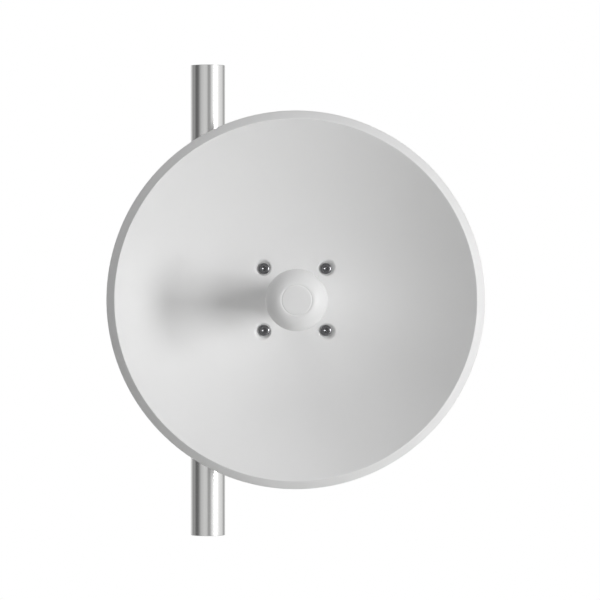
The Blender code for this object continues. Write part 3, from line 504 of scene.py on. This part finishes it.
def corner_arc(centre, radius, first, steps=6):
    """Points of a quarter circle, anticlockwise from its first angle in degrees."""
    angle = np.radians(np.linspace(first, first + 90, steps + 1))
    return centre + radius * np.stack([np.cos(angle), np.sin(angle)], axis=-1)


def drawn_in(outline, inset):
    """An anticlockwise outline moved inwards, square to the line between each point's neighbours."""
    along = np.roll(outline, -1, axis=0) - np.roll(outline, 1, axis=0)
    along /= np.linalg.norm(along, axis=1, keepdims=True)
    return outline + inset * np.stack([-along[:, 1], along[:, 0]], axis=-1)


def flat_plate(outline, middle, front, back, edge):
    """A plate with this outline: a fan from its middle, a rounded edge, its side, and the same again."""
    rows = [(None, front), (edge, front), (edge * 0.3, front + edge * 0.3), (0, front + edge)]
    rows += [(0, back - edge), (edge * 0.3, back - edge * 0.3), (edge, back), (None, back)]
    grid = np.empty((len(rows), len(outline), 3))
    for row, (inset, depth) in zip(grid, rows):
        row[:, :2] = middle if inset is None else drawn_in(outline, inset)
        row[:, 2] = depth
    return grid


def bent_strip(path, sheet, start, end):
    """A strip of bent sheet that runs from one place across to another, closed at its ends.

    The path is its outer face as (up, depth). The inner face is the sheet's thickness along the path's
    normals, and each end closes on the line halfway between the two.
    """
    along = np.gradient(path, axis=0)
    along /= np.linalg.norm(along, axis=1, keepdims=True)
    inward = np.stack([-along[:, 1], along[:, 0]], axis=-1) * sheet
    loop = np.concatenate([path, (path + inward)[::-1]])
    half = np.concatenate([path + inward / 2, (path + inward / 2)[::-1]])
    stations = [(half, start), (loop, start), (loop, end), (half, end)]
    return np.stack([np.column_stack([np.full(len(loop), across), line]) for line, across in stations])


# It is drawn from behind, where its arm reaches to +X
arm_end = vertex[0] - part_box("mounting_plate")[0][0]
top, bottom = ARM_TOP - PLATE_BEND, ARM_BOTTOM + PLATE_BEND
reach, turn_in = PAD_HALF - PAD_CORNER, arm_end - ARM_CORNER
outline = np.concatenate([
    corner_arc((turn_in, bottom + ARM_CORNER), ARM_CORNER, 270),
    corner_arc((turn_in, top - ARM_CORNER), ARM_CORNER, 0),
    [(PAD_HALF, top), (PAD_HALF, ARM_TOP), (PAD_HALF - 0.012, PAD_HALF)],
    corner_arc((-reach, reach), PAD_CORNER, 90), corner_arc((-reach, -reach), PAD_CORNER, 180),
    [(PAD_HALF - 0.016, -PAD_HALF), (PAD_HALF, ARM_BOTTOM), (PAD_HALF, bottom)]])
web = flat_plate(outline, (PAD_HALF, 0.005), PLATE_FRONT, PLATE_FRONT + PLATE_SHEET, PLATE_EDGE)
section = rounded_profile([
    (ARM_BOTTOM, FLANGE_BACK, 0), (ARM_BOTTOM, PLATE_FRONT - OVERLAP, PLATE_BEND),
    (ARM_TOP, PLATE_FRONT - OVERLAP, PLATE_BEND), (ARM_TOP, FLANGE_BACK, 0)], 8)
channel = bent_strip(section, PLATE_SHEET + 2 * OVERLAP, PAD_HALF + 0.001, arm_end - 0.010)
shells = [(from_behind(web), False, True), (from_behind(channel), False, True)]
half = SCREW_SPACING / 2
boss = turned([(0, -BOSS_FRONT), (BOSS_RADIUS - 0.0004, -BOSS_FRONT), (BOSS_RADIUS, 0.0004 - BOSS_FRONT),
               (BOSS_RADIUS + 0.001, PLATE_FRONT + 0.001), (0, PLATE_FRONT + 0.001)], 48)
shells += [(from_behind(boss, across, up), False, True) for across in (-half, half) for up in (-half, half)]
plate = shell_mesh("mounting_plate_pressing", shells, smooth_angle=32)
finish_piece(plate, zinc_steel, "dish", "zinc_plated_steel", "mounting_plate")


# Front screws: M8 button heads with a 5 mm hexagon socket, sunk in the dimples. They are stainless,
# blackened in a bath, and each goes through the dish and the plate to a bright flange nut.
BUTTON_RADIUS = 0.0070
BUTTON_HEIGHT = 0.0044
BUTTON_TOP = 0.0050
BUTTON_SIDE = 0.0018
BUTTON_FALL = math.radians(26)
SOCKET_FLATS = 0.0050
SOCKET_DEPTH = 0.0019
SCREW_FOOT = DIMPLE_FLOOR + 0.0003


def button_screw(length):
    """Points of the screw about +Z, its head's top at -height and its bearing face at 0.

    The head is a flat disc, a cone that falls at 26 degrees and an upright side, with soft corners
    between them. The socket ends in the cone that its drill left.
    """
    socket = hexagon(SOCKET_FLATS)
    mouth = SOCKET_FLATS / 2 / math.cos(math.pi / 6) + 0.0001
    rings = [(0, SOCKET_DEPTH + 0.0012), (0.0002, SOCKET_DEPTH + 0.0011), (0.0021, SOCKET_DEPTH + 0.0001)]
    rings += [(SOCKET_FLATS * 0.46, SOCKET_DEPTH), (socket, SOCKET_DEPTH - 0.0002)]
    rings += [(socket, 0.0003 + (mouth - socket) * 0.5), (mouth, 0)]
    rings = [(radius, depth - BUTTON_HEIGHT) for radius, depth in rings]
    brow = BUTTON_RADIUS - 0.0003
    fall = (brow - BUTTON_TOP) * math.tan(BUTTON_FALL)
    head = rounded_profile([(BUTTON_TOP - 0.0006, -BUTTON_HEIGHT, 0), (BUTTON_TOP, -BUTTON_HEIGHT, 0.0004),
                            (brow, fall - BUTTON_HEIGHT, 0.0006), (BUTTON_RADIUS, -BUTTON_SIDE, 0.0005),
                            (BUTTON_RADIUS, -0.0003, 0)])
    rings += [tuple(ring) for ring in head[:-1]]
    rings += [(BUTTON_RADIUS, -0.0003), (BUTTON_RADIUS - 0.0003, 0), (M8["radius"], 0)]
    return turned(rings + thread(M8["radius"], M8["pitch"], length - THREADED["dish"], length), COLUMNS)


blackened_stainless, tree, shader = new_material(
    "blackened_stainless", "#727274", Metallic=1.0, Roughness=0.25)
# The bath leaves the steel dark and smooth, a little patchy every 2 mm
where = add_node(tree, "ShaderNodeTexCoord")
patches = add_node(tree, "ShaderNodeTexNoise", {"Scale": 500.0, "Detail": 2.0},
                   {"Vector": where.outputs["Object"]})
tone = add_node(tree, "ShaderNodeMapRange", {"To Min": 0.20, "To Max": 0.30},
                {"Value": patches.outputs["Fac"]})
tree.links.new(tone.outputs["Result"], shader.inputs["Roughness"])

for corner, across, up in (("upper_left", -half, half), ("upper_right", half, half),
                           ("lower_left", -half, -half), ("lower_right", half, -half)):
    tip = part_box("screw_" + corner)[1][1] - vertex[1]
    place = vertex + [across, -SCREW_FOOT, up]
    screw = aimed(button_screw(SCREW_FOOT + tip), place, *BOLT_GOES["rear"])
    piece = grid_mesh("front_screw_" + corner, screw, close_v=True, smooth_angle=32)
    finish_piece(piece, blackened_stainless, "dish", "stainless_steel", "screw_" + corner)
    fasten("nut_" + corner, "rear", M8, "dish")


# Feed: a white ASA moulding in three pieces. A collar sits on the bowl, a slightly flared neck stands
# on it, and the cap is a thick mushroom. The disc in the middle of its dome is bare, with a faint groove.
CAP_RADIUS = 0.0380
CAP_DISC_RADIUS = 0.0200
CAP_DOME_DEPTH = 0.0175
CAP_DOME_POWER = 4 / 3
CAP_UNDERSIDE = 0.127
COLLAR_TOP = 0.0065
COLLAR_RADIUS = 0.031
COLLAR_BORE = 0.0158
NECK_RADIUS = 0.0215
SEAM = 0.0003

moulded_asa, tree, shader = new_material(
    "moulded_white_asa", "#ECECEC", Roughness=0.40, IOR=1.52, Specular_IOR_Level=0.45)
# The mould was spark eroded, which leaves a fine satin grain about 0.4 mm across
where = add_node(tree, "ShaderNodeTexCoord")
grain = add_node(tree, "ShaderNodeTexNoise", {"Scale": 2500.0, "Detail": 1.0},
                 {"Vector": where.outputs["Object"]})
bump = add_node(tree, "ShaderNodeBump", {"Strength": 0.15, "Distance": 0.00003},
                {"Height": grain.outputs["Fac"]})
tree.links.new(bump.outputs["Normal"], shader.inputs["Normal"])

collar = rounded_profile([
    (COLLAR_BORE, COLLAR_TOP - 0.002, 0), (COLLAR_BORE, COLLAR_TOP, 0.0003),
    (COLLAR_RADIUS - 0.0035, COLLAR_TOP, 0.002), (COLLAR_RADIUS, COLLAR_TOP - 0.0030, 0.001),
    (COLLAR_RADIUS, 0.0021, 0.0002), (COLLAR_BORE, 0.0009, 0)])
piece = grid_mesh("feed_collar_ring", facing_front(turned(collar, 120)[::-1]), close_u=True, close_v=True)
finish_piece(piece, moulded_asa, "dish", "white_plastic", "feed_collar")

neck_foot = COLLAR_TOP + SEAM
neck = rounded_profile([
    (0, neck_foot, 0), (NECK_RADIUS + 0.002, neck_foot, 0.0005),
    (NECK_RADIUS + 0.0010, neck_foot + 0.006, 0.004), (NECK_RADIUS, neck_foot + 0.020, 0.008),
    (NECK_RADIUS, CAP_UNDERSIDE - SEAM, 0.0004),
    (0, CAP_UNDERSIDE - SEAM, 0)])
piece = grid_mesh("feed_neck_tube", facing_front(turned(neck, 120)), close_v=True)
finish_piece(piece, moulded_asa, "dish", "white_plastic", "feed_neck")

widest = CAP_FRONT - CAP_DOME_DEPTH
dome_turn = np.radians(np.linspace(0, 90, 29))
out, rise = np.abs(np.cos(dome_turn)) ** CAP_DOME_POWER, np.sin(dome_turn) ** CAP_DOME_POWER
dome = np.stack([CAP_DISC_RADIUS + (CAP_RADIUS - CAP_DISC_RADIUS) * out,
                 widest + (CAP_DOME_DEPTH - 0.0003) * rise], axis=-1)
under = rounded_profile([
    (0, CAP_UNDERSIDE, 0), (NECK_RADIUS + 0.0010, CAP_UNDERSIDE, 0.0006),
    (NECK_RADIUS + 0.0045, widest - 0.014, 0.006), (CAP_RADIUS - 0.0035, widest - 0.0065, 0.004),
    (CAP_RADIUS, widest - 0.0010, 0.003), (CAP_RADIUS, widest, 0)], 6)
disc = rounded_profile([
    (CAP_DISC_RADIUS, CAP_FRONT - 0.0003, 0), (CAP_DISC_RADIUS - 0.0006, CAP_FRONT - 0.0003, 0.0003),
    (CAP_DISC_RADIUS - 0.0014, CAP_FRONT - 0.0006, 0.0004), (CAP_DISC_RADIUS - 0.0026, CAP_FRONT, 0.0006),
    (0, CAP_FRONT, 0)])[1:]
cap = np.concatenate([under[:-1], dome, disc])
piece = grid_mesh("feed_cap_mushroom", facing_front(turned(cap, 160)), close_v=True, smooth_angle=50)
finish_piece(piece, moulded_asa, "dish", "white_plastic", "feed_cap")


# Radio: a white ASA case behind the plate. Its tub plugs the feed in through the hub, its cover is held
# by four screws, and a ribbed door hides the port, whose cable goes in through the gland below.
CASE_CORNER = 0.011
CASE_EDGE = 0.002
COVER_EDGE = 0.006
DOOR_CORNER = 0.006
DOOR_EDGE = 0.004
SPIGOT_RADIUS = 0.015
PARTING = 0.0006


def case_rings(half_x, half_y, corner, levels, steps=8):
    """Points of a case about +Z: a rounded rectangle at each level of (inset, height).

    The inset draws the rectangle in with its corners kept concentric, and None closes it to its middle.
    """
    quarter = np.repeat([0, 1, 2, 3], steps + 1)
    angle = np.radians(np.tile(np.linspace(0, 90, steps + 1), 4) + 90 * quarter)
    side_x, side_y = np.array([1, -1, -1, 1])[quarter], np.array([1, 1, -1, -1])[quarter]
    grid = np.zeros((len(levels), len(angle), 3))
    for row, (inset, height) in zip(grid, levels):
        if inset is not None:
            radius = max(corner - inset, 0.0002)
            row[:, 0] = side_x * (half_x - inset - radius) + radius * np.cos(angle)
            row[:, 1] = side_y * (half_y - inset - radius) + radius * np.sin(angle)
        row[:, 2] = height
    return grid


def rounded_over(edge, height, steps=6):
    """Levels of an edge rounded over in a quarter circle, up to a height."""
    turns = np.radians(np.linspace(0, 90, steps + 1))
    return [(edge * (1 - math.cos(turn)), height - edge * (1 - math.sin(turn))) for turn in turns]


def case_piece(name, node, corner, levels, *more):
    """A case in the place of a CAD node, from its near face back, with more shells joined to it."""
    low, high = (np.array(corner_place) for corner_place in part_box(node))
    half_x, _, half_y = (high - low) / 2
    across, _, up = (low + high) / 2 - vertex
    points = case_rings(half_x, half_y, corner, levels)
    shells = [(from_behind(points, across, up, low[1] - vertex[1]), False, True), *more]
    return shell_mesh(name, shells, smooth_angle=35)


def bar(across, up, half_x, half_y, face, proud):
    """A small raised bar with a soft edge, which starts 0.3 mm under the face that it stands on."""
    soft = 0.6 * proud
    levels = [(None, -0.0003), (0, -0.0003), *rounded_over(soft, proud, 4), (None, proud)]
    rings = case_rings(half_x, half_y, min(half_x, half_y), levels)
    return from_behind(rings, across, up, face), False, True


def pan_screw(radius, height, drive):
    """Points of a pan head about +Z with a six-sided drive hole in a domed top."""
    hole = hexagon(drive)
    dome = [(radius * share, height * (1 - 0.6 * share ** 4)) for share in (1.0, 0.92, 0.8, 0.64)]
    rings = [(0, -0.0003), (radius, -0.0003), *dome, (hole, height), (hole, height * 0.35), (0, height * 0.3)]
    return turned(rings, COLUMNS)


tub_low, tub_high = (np.array(corner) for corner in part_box("radio_housing"))
cover_low, cover_high = (np.array(corner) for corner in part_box("radio_cover"))
door_low, door_high = (np.array(corner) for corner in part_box("port_door"))
tub_front, split = fork_low[1] - vertex[1], cover_low[1] - vertex[1] - SEAM
case_half_x, case_half_y = (tub_high[0] - tub_low[0]) / 2, (tub_high[2] - tub_low[2]) / 2
levels = [(None, tub_front)]
levels += [(inset, tub_front - height) for inset, height in rounded_over(CASE_EDGE, 0)[::-1]]
levels += [(0, split - 2 * PARTING), (PARTING, split - PARTING), (PARTING, split), (None, split)]
tub = case_rings(case_half_x, case_half_y, CASE_CORNER, levels)
spigot = turned([(0, -COLLAR_TOP + 0.001), (SPIGOT_RADIUS - 0.0005, -COLLAR_TOP + 0.001),
                 (SPIGOT_RADIUS, -COLLAR_TOP + 0.0015), (SPIGOT_RADIUS, tub_front + 0.003),
                 (0, tub_front + 0.003)], 64)
shells = [(from_behind(tub), False, True), (from_behind(spigot), False, True)]
# Upright ribs stiffen both of its long sides
for side in (-1, 1):
    for step in range(7):
        rib = case_rings(0.0011, (split - tub_front) / 2 - 0.005, 0.0010,
                         [(None, -0.0004), (0, -0.0004), *rounded_over(0.0004, 0.0007, 3), (None, 0.0007)])
        place = vertex + [side * case_half_x, (tub_front + split) / 2, -0.060 + 0.020 * step]
        shells.append((aimed(rib, place, (side, 0, 0), (0, 0, 1)), False, True))
tub = shell_mesh("radio_tub", shells, smooth_angle=35)
finish_piece(tub, moulded_asa, "dish", "white_plastic", "radio_housing")

thick = cover_high[1] - cover_low[1]
levels = [(None, 0), (PARTING, 0), (0, PARTING), *rounded_over(COVER_EDGE, thick, 10)]
levels += [(COVER_EDGE + 0.0012, thick), (COVER_EDGE + 0.0017, thick - 0.0004), (None, thick - 0.0004)]
cover_face = cover_high[1] - vertex[1] - 0.0004
cover_up = (cover_low[2] + cover_high[2]) / 2 - vertex[2]
grips = [bar(0, cover_up - 0.052 + 0.007 * step, 0.0165, 0.0011, cover_face, 0.0007) for step in range(6)]
cover = case_piece("radio_cover_shell", "radio_cover", CASE_CORNER, levels, *grips)
finish_piece(cover, moulded_asa, "dish", "white_plastic", "radio_cover")

thick = door_high[1] - door_low[1]
levels = [(None, 0), (PARTING, 0), (0, PARTING), *rounded_over(DOOR_EDGE, thick, 8), (None, thick)]
door_face = door_high[1] - vertex[1]
door_up = (door_low[2] + door_high[2]) / 2 - vertex[2]
grips = [bar(0, door_up - 0.0085 + 0.0034 * step, 0.012, 0.0007, door_face, 0.0006) for step in range(4)]
door = case_piece("port_door_shell", "port_door", DOOR_CORNER, levels, *grips)
finish_piece(door, moulded_asa, "dish", "white_plastic", "port_door")

# The cover's screws and the earthing screw, which clamps a serrated washer under its head
screws = []
for across in (-0.0195, 0.0195):
    for up in (cover_up - 0.066, cover_up + 0.066):
        screws.append((from_behind(pan_screw(0.0028, 0.0013, 0.0024), across, up, cover_face), False, True))
cover_screws = shell_mesh("cover_screws", screws, smooth_angle=35)
finish_piece(cover_screws, bolt_stainless, "dish", "stainless_steel")

low, high = (np.array(corner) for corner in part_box("ground_screw"))
place = (low + high) / 2
place[2] = high[2]
teeth = 0.0046 + 0.0002 * np.sign(np.sin(12 * np.linspace(0, math.tau, COLUMNS, endpoint=False) + 0.1))
washer = turned([(0.0022, 0), (teeth, 0), (teeth, 0.0005), (0.0022, 0.0005)], COLUMNS)
head = pan_screw(0.0040, high[2] - low[2] - 0.0006, 0.0030) + [0, 0, 0.0006]
earth = [(aimed(washer, place, (0, 0, -1), (1, 0, 0)), True, True),
         (aimed(head, place, (0, 0, -1), (1, 0, 0)), False, True)]
ground = shell_mesh("earthing_screw", earth, smooth_angle=35)
finish_piece(ground, bolt_stainless, "dish", "stainless_steel", "ground_screw")

# Gland: moulded grey polyamide, a hexagon under a domed nut with twelve flutes and a rubber-lined hole
grey_polyamide, tree, shader = new_material("grey_polyamide", "#77787B", Roughness=0.50, IOR=1.53)
where = add_node(tree, "ShaderNodeTexCoord")
speckle = add_node(tree, "ShaderNodeTexNoise", {"Scale": 1600.0, "Detail": 2.0},
                   {"Vector": where.outputs["Object"]})
bump = add_node(tree, "ShaderNodeBump", {"Strength": 0.25, "Distance": 0.00005},
                {"Height": speckle.outputs["Fac"]})
mottle = add_node(tree, "ShaderNodeMapRange", {"To Min": 0.42, "To Max": 0.58},
                  {"Value": speckle.outputs["Fac"]})
tree.links.new(bump.outputs["Normal"], shader.inputs["Normal"])
tree.links.new(mottle.outputs["Result"], shader.inputs["Roughness"])

low, high = (np.array(corner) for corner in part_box("cable_gland"))
place = np.array([(low[0] + high[0]) / 2, (low[1] + high[1]) / 2, high[2]])
nut = hexagon(0.0210)
flutes = 0.0004 * np.abs(np.cos(6 * np.linspace(0, math.tau, COLUMNS, endpoint=False)))
rings = [(0, 0.0001), (0.0100, 0.0001), (0.0100, 0.0037), (0.0092, 0.0040), (nut - 0.0004, 0.0047),
         (nut, 0.0052), (nut, 0.0112), (nut - 0.0005, 0.0117), (0.0097 - flutes, 0.0122),
         (0.0092 - flutes, 0.0160), (0.0082 - flutes, 0.0185), (0.0066, 0.0203), (0.0058, 0.0207),
         (0.0041, 0.0207), (0.0038, 0.0202), (0.0038, 0.0140), (0, 0.0140)]
gland = aimed(turned(rings, COLUMNS), place, (0, 0, -1), (1, 0, 0))
gland = grid_mesh("cable_gland_nut", gland, close_v=True, smooth_angle=32)
finish_piece(gland, grey_polyamide, "dish", "grey_plastic", "cable_gland")

# Status window: smoked acrylic with a polished face, over four small milky lenses
smoked_acrylic, tree, shader = new_material("smoked_acrylic", "#1B1B1E", Roughness=0.07, IOR=1.49)
where = add_node(tree, "ShaderNodeTexCoord")
wiped = add_node(tree, "ShaderNodeTexNoise", {"Scale": 300.0, "Detail": 3.0},
                 {"Vector": where.outputs["Object"]})
haze = add_node(tree, "ShaderNodeMapRange", {"To Min": 0.05, "To Max": 0.12},
                {"Value": wiped.outputs["Fac"]})
tree.links.new(haze.outputs["Result"], shader.inputs["Roughness"])
low, high = (np.array(corner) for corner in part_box("status_window"))
thick = high[1] - low[1]
window = case_piece("status_window_bar", "status_window", 0.0040,
                    [(None, 0), (0, 0), *rounded_over(0.0005, thick, 4), (None, thick)])
finish_piece(window, smoked_acrylic, "dish", "smoked_window", "status_window")

milky_lens, tree, shader = new_material("milky_lens", "#B9C0B4", Roughness=0.30, IOR=1.49)
where = add_node(tree, "ShaderNodeTexCoord")
frost = add_node(tree, "ShaderNodeTexNoise", {"Scale": 3000.0}, {"Vector": where.outputs["Object"]})
frosted = add_node(tree, "ShaderNodeMapRange", {"To Min": 0.24, "To Max": 0.40},
                   {"Value": frost.outputs["Fac"]})
tree.links.new(frosted.outputs["Result"], shader.inputs["Roughness"])
lens = turned([(0, -0.0004), (0.0010, -0.0004), (0.0010, 0.0001), (0.0006, 0.00025), (0, 0.0003)], 24)
middle = (low + high) / 2 - vertex
lenses = [(from_behind(lens, middle[0], middle[2] + rise, high[1] - vertex[1]), False, True)
          for rise in (-0.0135, -0.0045, 0.0045, 0.0135)]
finish_piece(shell_mesh("status_lenses", lenses), milky_lens, "dish", "smoked_window")


# Stage: a plain pale floor well under the part, a studio that is white to the camera, seven soft panels
# with the brightest at the right, and a long lens almost square to the dish.
FLOOR_DROP = 0.40
FLOOR_RADIUS = 2.6
CAMERA_DISTANCE = 4.4
PHOTO_PIXELS = 600
METRES_PER_PIXEL = 0.0012376
SENSOR = 36.0
CAMERA_LEFT = math.radians(0.88)
CAMERA_UP = math.radians(0.30)
RIM_PIXEL = (296.0, 299.9)

floor_points = turned([(0, 0), (FLOOR_RADIUS, 0)], 96) + [0, 0, pole_low[2] - FLOOR_DROP]
floor = grid_mesh("pale_floor", floor_points[::-1], close_v=True)
floor_paint, tree, shader = new_material("pale_floor_paint", "#EDEDEC", Roughness=0.7)
floor.data.materials.append(floor_paint)
floor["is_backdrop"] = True

# What stands round the part, as its polished pole mirrors it: degrees round from the camera, to the
# right, and brightness. From the left they are the white background, a black flag, a grey wall, the
# dark gap at the camera, the softbox's glow, a lighter wall and another gap.
STUDIO = ((-180, 1.0), (-145, 1.0), (-118, 0.40), (-100, 0.45), (-84, 0.16), (-66, 0.22), (-46, 0.72),
          (-22, 0.90), (-6, 0.85), (3, 0.45), (15, 0.50), (27, 1.1), (40, 1.45), (70, 1.45), (84, 1.15),
          (112, 0.95), (126, 0.50), (142, 0.60), (160, 1.0), (180, 1.0))
STUDIO_PEAK = 1.7
ROOM = 0.42
BAND_LOW, BAND_HIGH = 0.10, 0.32
AMBIENT = 0.04

world = bpy.data.worlds.new("studio")
bpy.context.scene.world = world
world.use_nodes = True
tree = world.node_tree
tree.nodes.clear()
sky = add_node(tree, "ShaderNodeTexCoord")
axes = add_node(tree, "ShaderNodeSeparateXYZ", {}, {"Vector": sky.outputs["Generated"]})
toward = add_node(tree, "ShaderNodeMath", {"operation": "MULTIPLY", 1: -1.0}, {0: axes.outputs["Y"]})
around = add_node(tree, "ShaderNodeMath", {"operation": "ARCTAN2"},
                  {0: axes.outputs["X"], 1: toward.outputs[0]})
share = add_node(tree, "ShaderNodeMapRange", {"From Min": -math.pi, "From Max": math.pi},
                 {"Value": around.outputs[0]})
ring = add_node(tree, "ShaderNodeValToRGB", {}, {"Fac": share.outputs["Result"]})
while len(ring.color_ramp.elements) < len(STUDIO):
    ring.color_ramp.elements.new(0.5)
for stop, (degrees, glow) in zip(ring.color_ramp.elements, STUDIO):
    stop.position = (degrees + 180) / 360
    stop.color = (glow / STUDIO_PEAK,) * 3 + (1.0,)
ring_light = add_node(tree, "ShaderNodeBackground", {"Strength": STUDIO_PEAK},
                      {"Color": ring.outputs["Color"]})
rise = add_node(tree, "ShaderNodeMapRange",
                {"From Min": -1.0, "From Max": 1.0, "To Min": 0.72, "To Max": 1.28},
                {"Value": axes.outputs["Z"]})
lean = add_node(tree, "ShaderNodeMapRange",
                {"From Min": -1.0, "From Max": 1.0, "To Min": 0.80, "To Max": 1.20},
                {"Value": axes.outputs["X"]})
both = add_node(tree, "ShaderNodeMath", {"operation": "MULTIPLY"},
                {0: rise.outputs["Result"], 1: lean.outputs["Result"]})
level = add_node(tree, "ShaderNodeMath", {"operation": "MULTIPLY", 1: ROOM}, {0: both.outputs[0]})
room_light = add_node(tree, "ShaderNodeBackground", {"Color": (1, 1, 1, 1)}, {"Strength": level.outputs[0]})
steep = add_node(tree, "ShaderNodeMath", {"operation": "ABSOLUTE"}, {0: axes.outputs["Z"]})
above = add_node(tree, "ShaderNodeMapRange", {"From Min": BAND_LOW, "From Max": BAND_HIGH},
                 {"Value": steep.outputs[0]})
studio_light = add_node(tree, "ShaderNodeMixShader", {}, {
    0: above.outputs["Result"], 1: ring_light.outputs[0], 2: room_light.outputs[0]})
# Only what mirrors sees the studio, and what is matt sees a dim room and the panels
ray = add_node(tree, "ShaderNodeLightPath")
dim = add_node(tree, "ShaderNodeBackground", {"Color": (1, 1, 1, 1), "Strength": AMBIENT})
mirrored = add_node(tree, "ShaderNodeMixShader", {}, {
    0: ray.outputs["Is Glossy Ray"], 1: dim.outputs[0], 2: studio_light.outputs[0]})
white = add_node(tree, "ShaderNodeBackground", {"Color": (1, 1, 1, 1), "Strength": 1.0})
shown = add_node(tree, "ShaderNodeMixShader", {}, {
    0: ray.outputs["Is Camera Ray"], 1: mirrored.outputs[0], 2: white.outputs[0]})
add_node(tree, "ShaderNodeOutputWorld", {}, {"Surface": shown.outputs[0]})

# The soft panels, as the dish sees them: degrees round from the camera to the right, degrees up, half
# the width and half the height in degrees, and brightness. They are the key, its fill, a long box over
# the camera, a wide bank above on the left and a box high on the right. The last two light the back.
# The key alone is mirrored, as the glints on the front screws.
PANELS = ((53, 1.5, 6.5, 11, 14.8), (30, 0, 10, 10, 4.6), (0, 50, 20, 14, 1.2), (-65, 45, 27, 28, 0.8),
          (90, 60, 10, 10, 2.9), (180, 16, 20, 14, 2.6), (-140, 12, 14, 12, 2.0))
KEY_PANEL = 0
PANEL_DISTANCE = 2.6
for number, (round_degrees, up_degrees, half_width, half_height, glow) in enumerate(PANELS):
    turn, up = math.radians(round_degrees), math.radians(up_degrees)
    data = bpy.data.lights.new("panel_%d" % number, "AREA")
    data.shape = "RECTANGLE"
    data.size = 2 * PANEL_DISTANCE * math.tan(math.radians(half_width))
    data.size_y = 2 * PANEL_DISTANCE * math.tan(math.radians(half_height))
    data.energy = glow * math.pi * data.size * data.size_y
    panel = bpy.data.objects.new(data.name, data)
    bpy.context.scene.collection.objects.link(panel)
    aim = np.array([math.sin(turn) * math.cos(up), -math.cos(turn) * math.cos(up), math.sin(up)])
    panel.location = vertex + aim * PANEL_DISTANCE
    panel.rotation_euler = (math.pi / 2 - up, 0, turn)
    panel.visible_camera = False
    panel.visible_glossy = number == KEY_PANEL

camera_data = bpy.data.cameras.new("photo_camera")
camera_data.sensor_width = SENSOR
camera_data.lens = SENSOR * CAMERA_DISTANCE / (PHOTO_PIXELS * METRES_PER_PIXEL)
camera_data.clip_end = 50.0
camera = bpy.data.objects.new("photo_camera", camera_data)
bpy.context.scene.collection.objects.link(camera)
toward = np.array([math.sin(CAMERA_LEFT), math.cos(CAMERA_LEFT), -math.sin(CAMERA_UP)])
rightward = np.array([math.cos(CAMERA_LEFT), -math.sin(CAMERA_LEFT), 0.0])
rim_centre = vertex - [0, CREST_AHEAD, 0]
half = PHOTO_PIXELS / 2
target = rim_centre + rightward * (half - RIM_PIXEL[0]) * METRES_PER_PIXEL
target = target - np.array([0, 0, half - RIM_PIXEL[1]]) * METRES_PER_PIXEL
camera.location = target - toward * CAMERA_DISTANCE
camera.rotation_euler = (math.pi / 2 - CAMERA_UP, 0, -CAMERA_LEFT)
bpy.context.scene.camera = camera
bpy.context.scene.view_settings.view_transform = "Standard"

low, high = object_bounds()
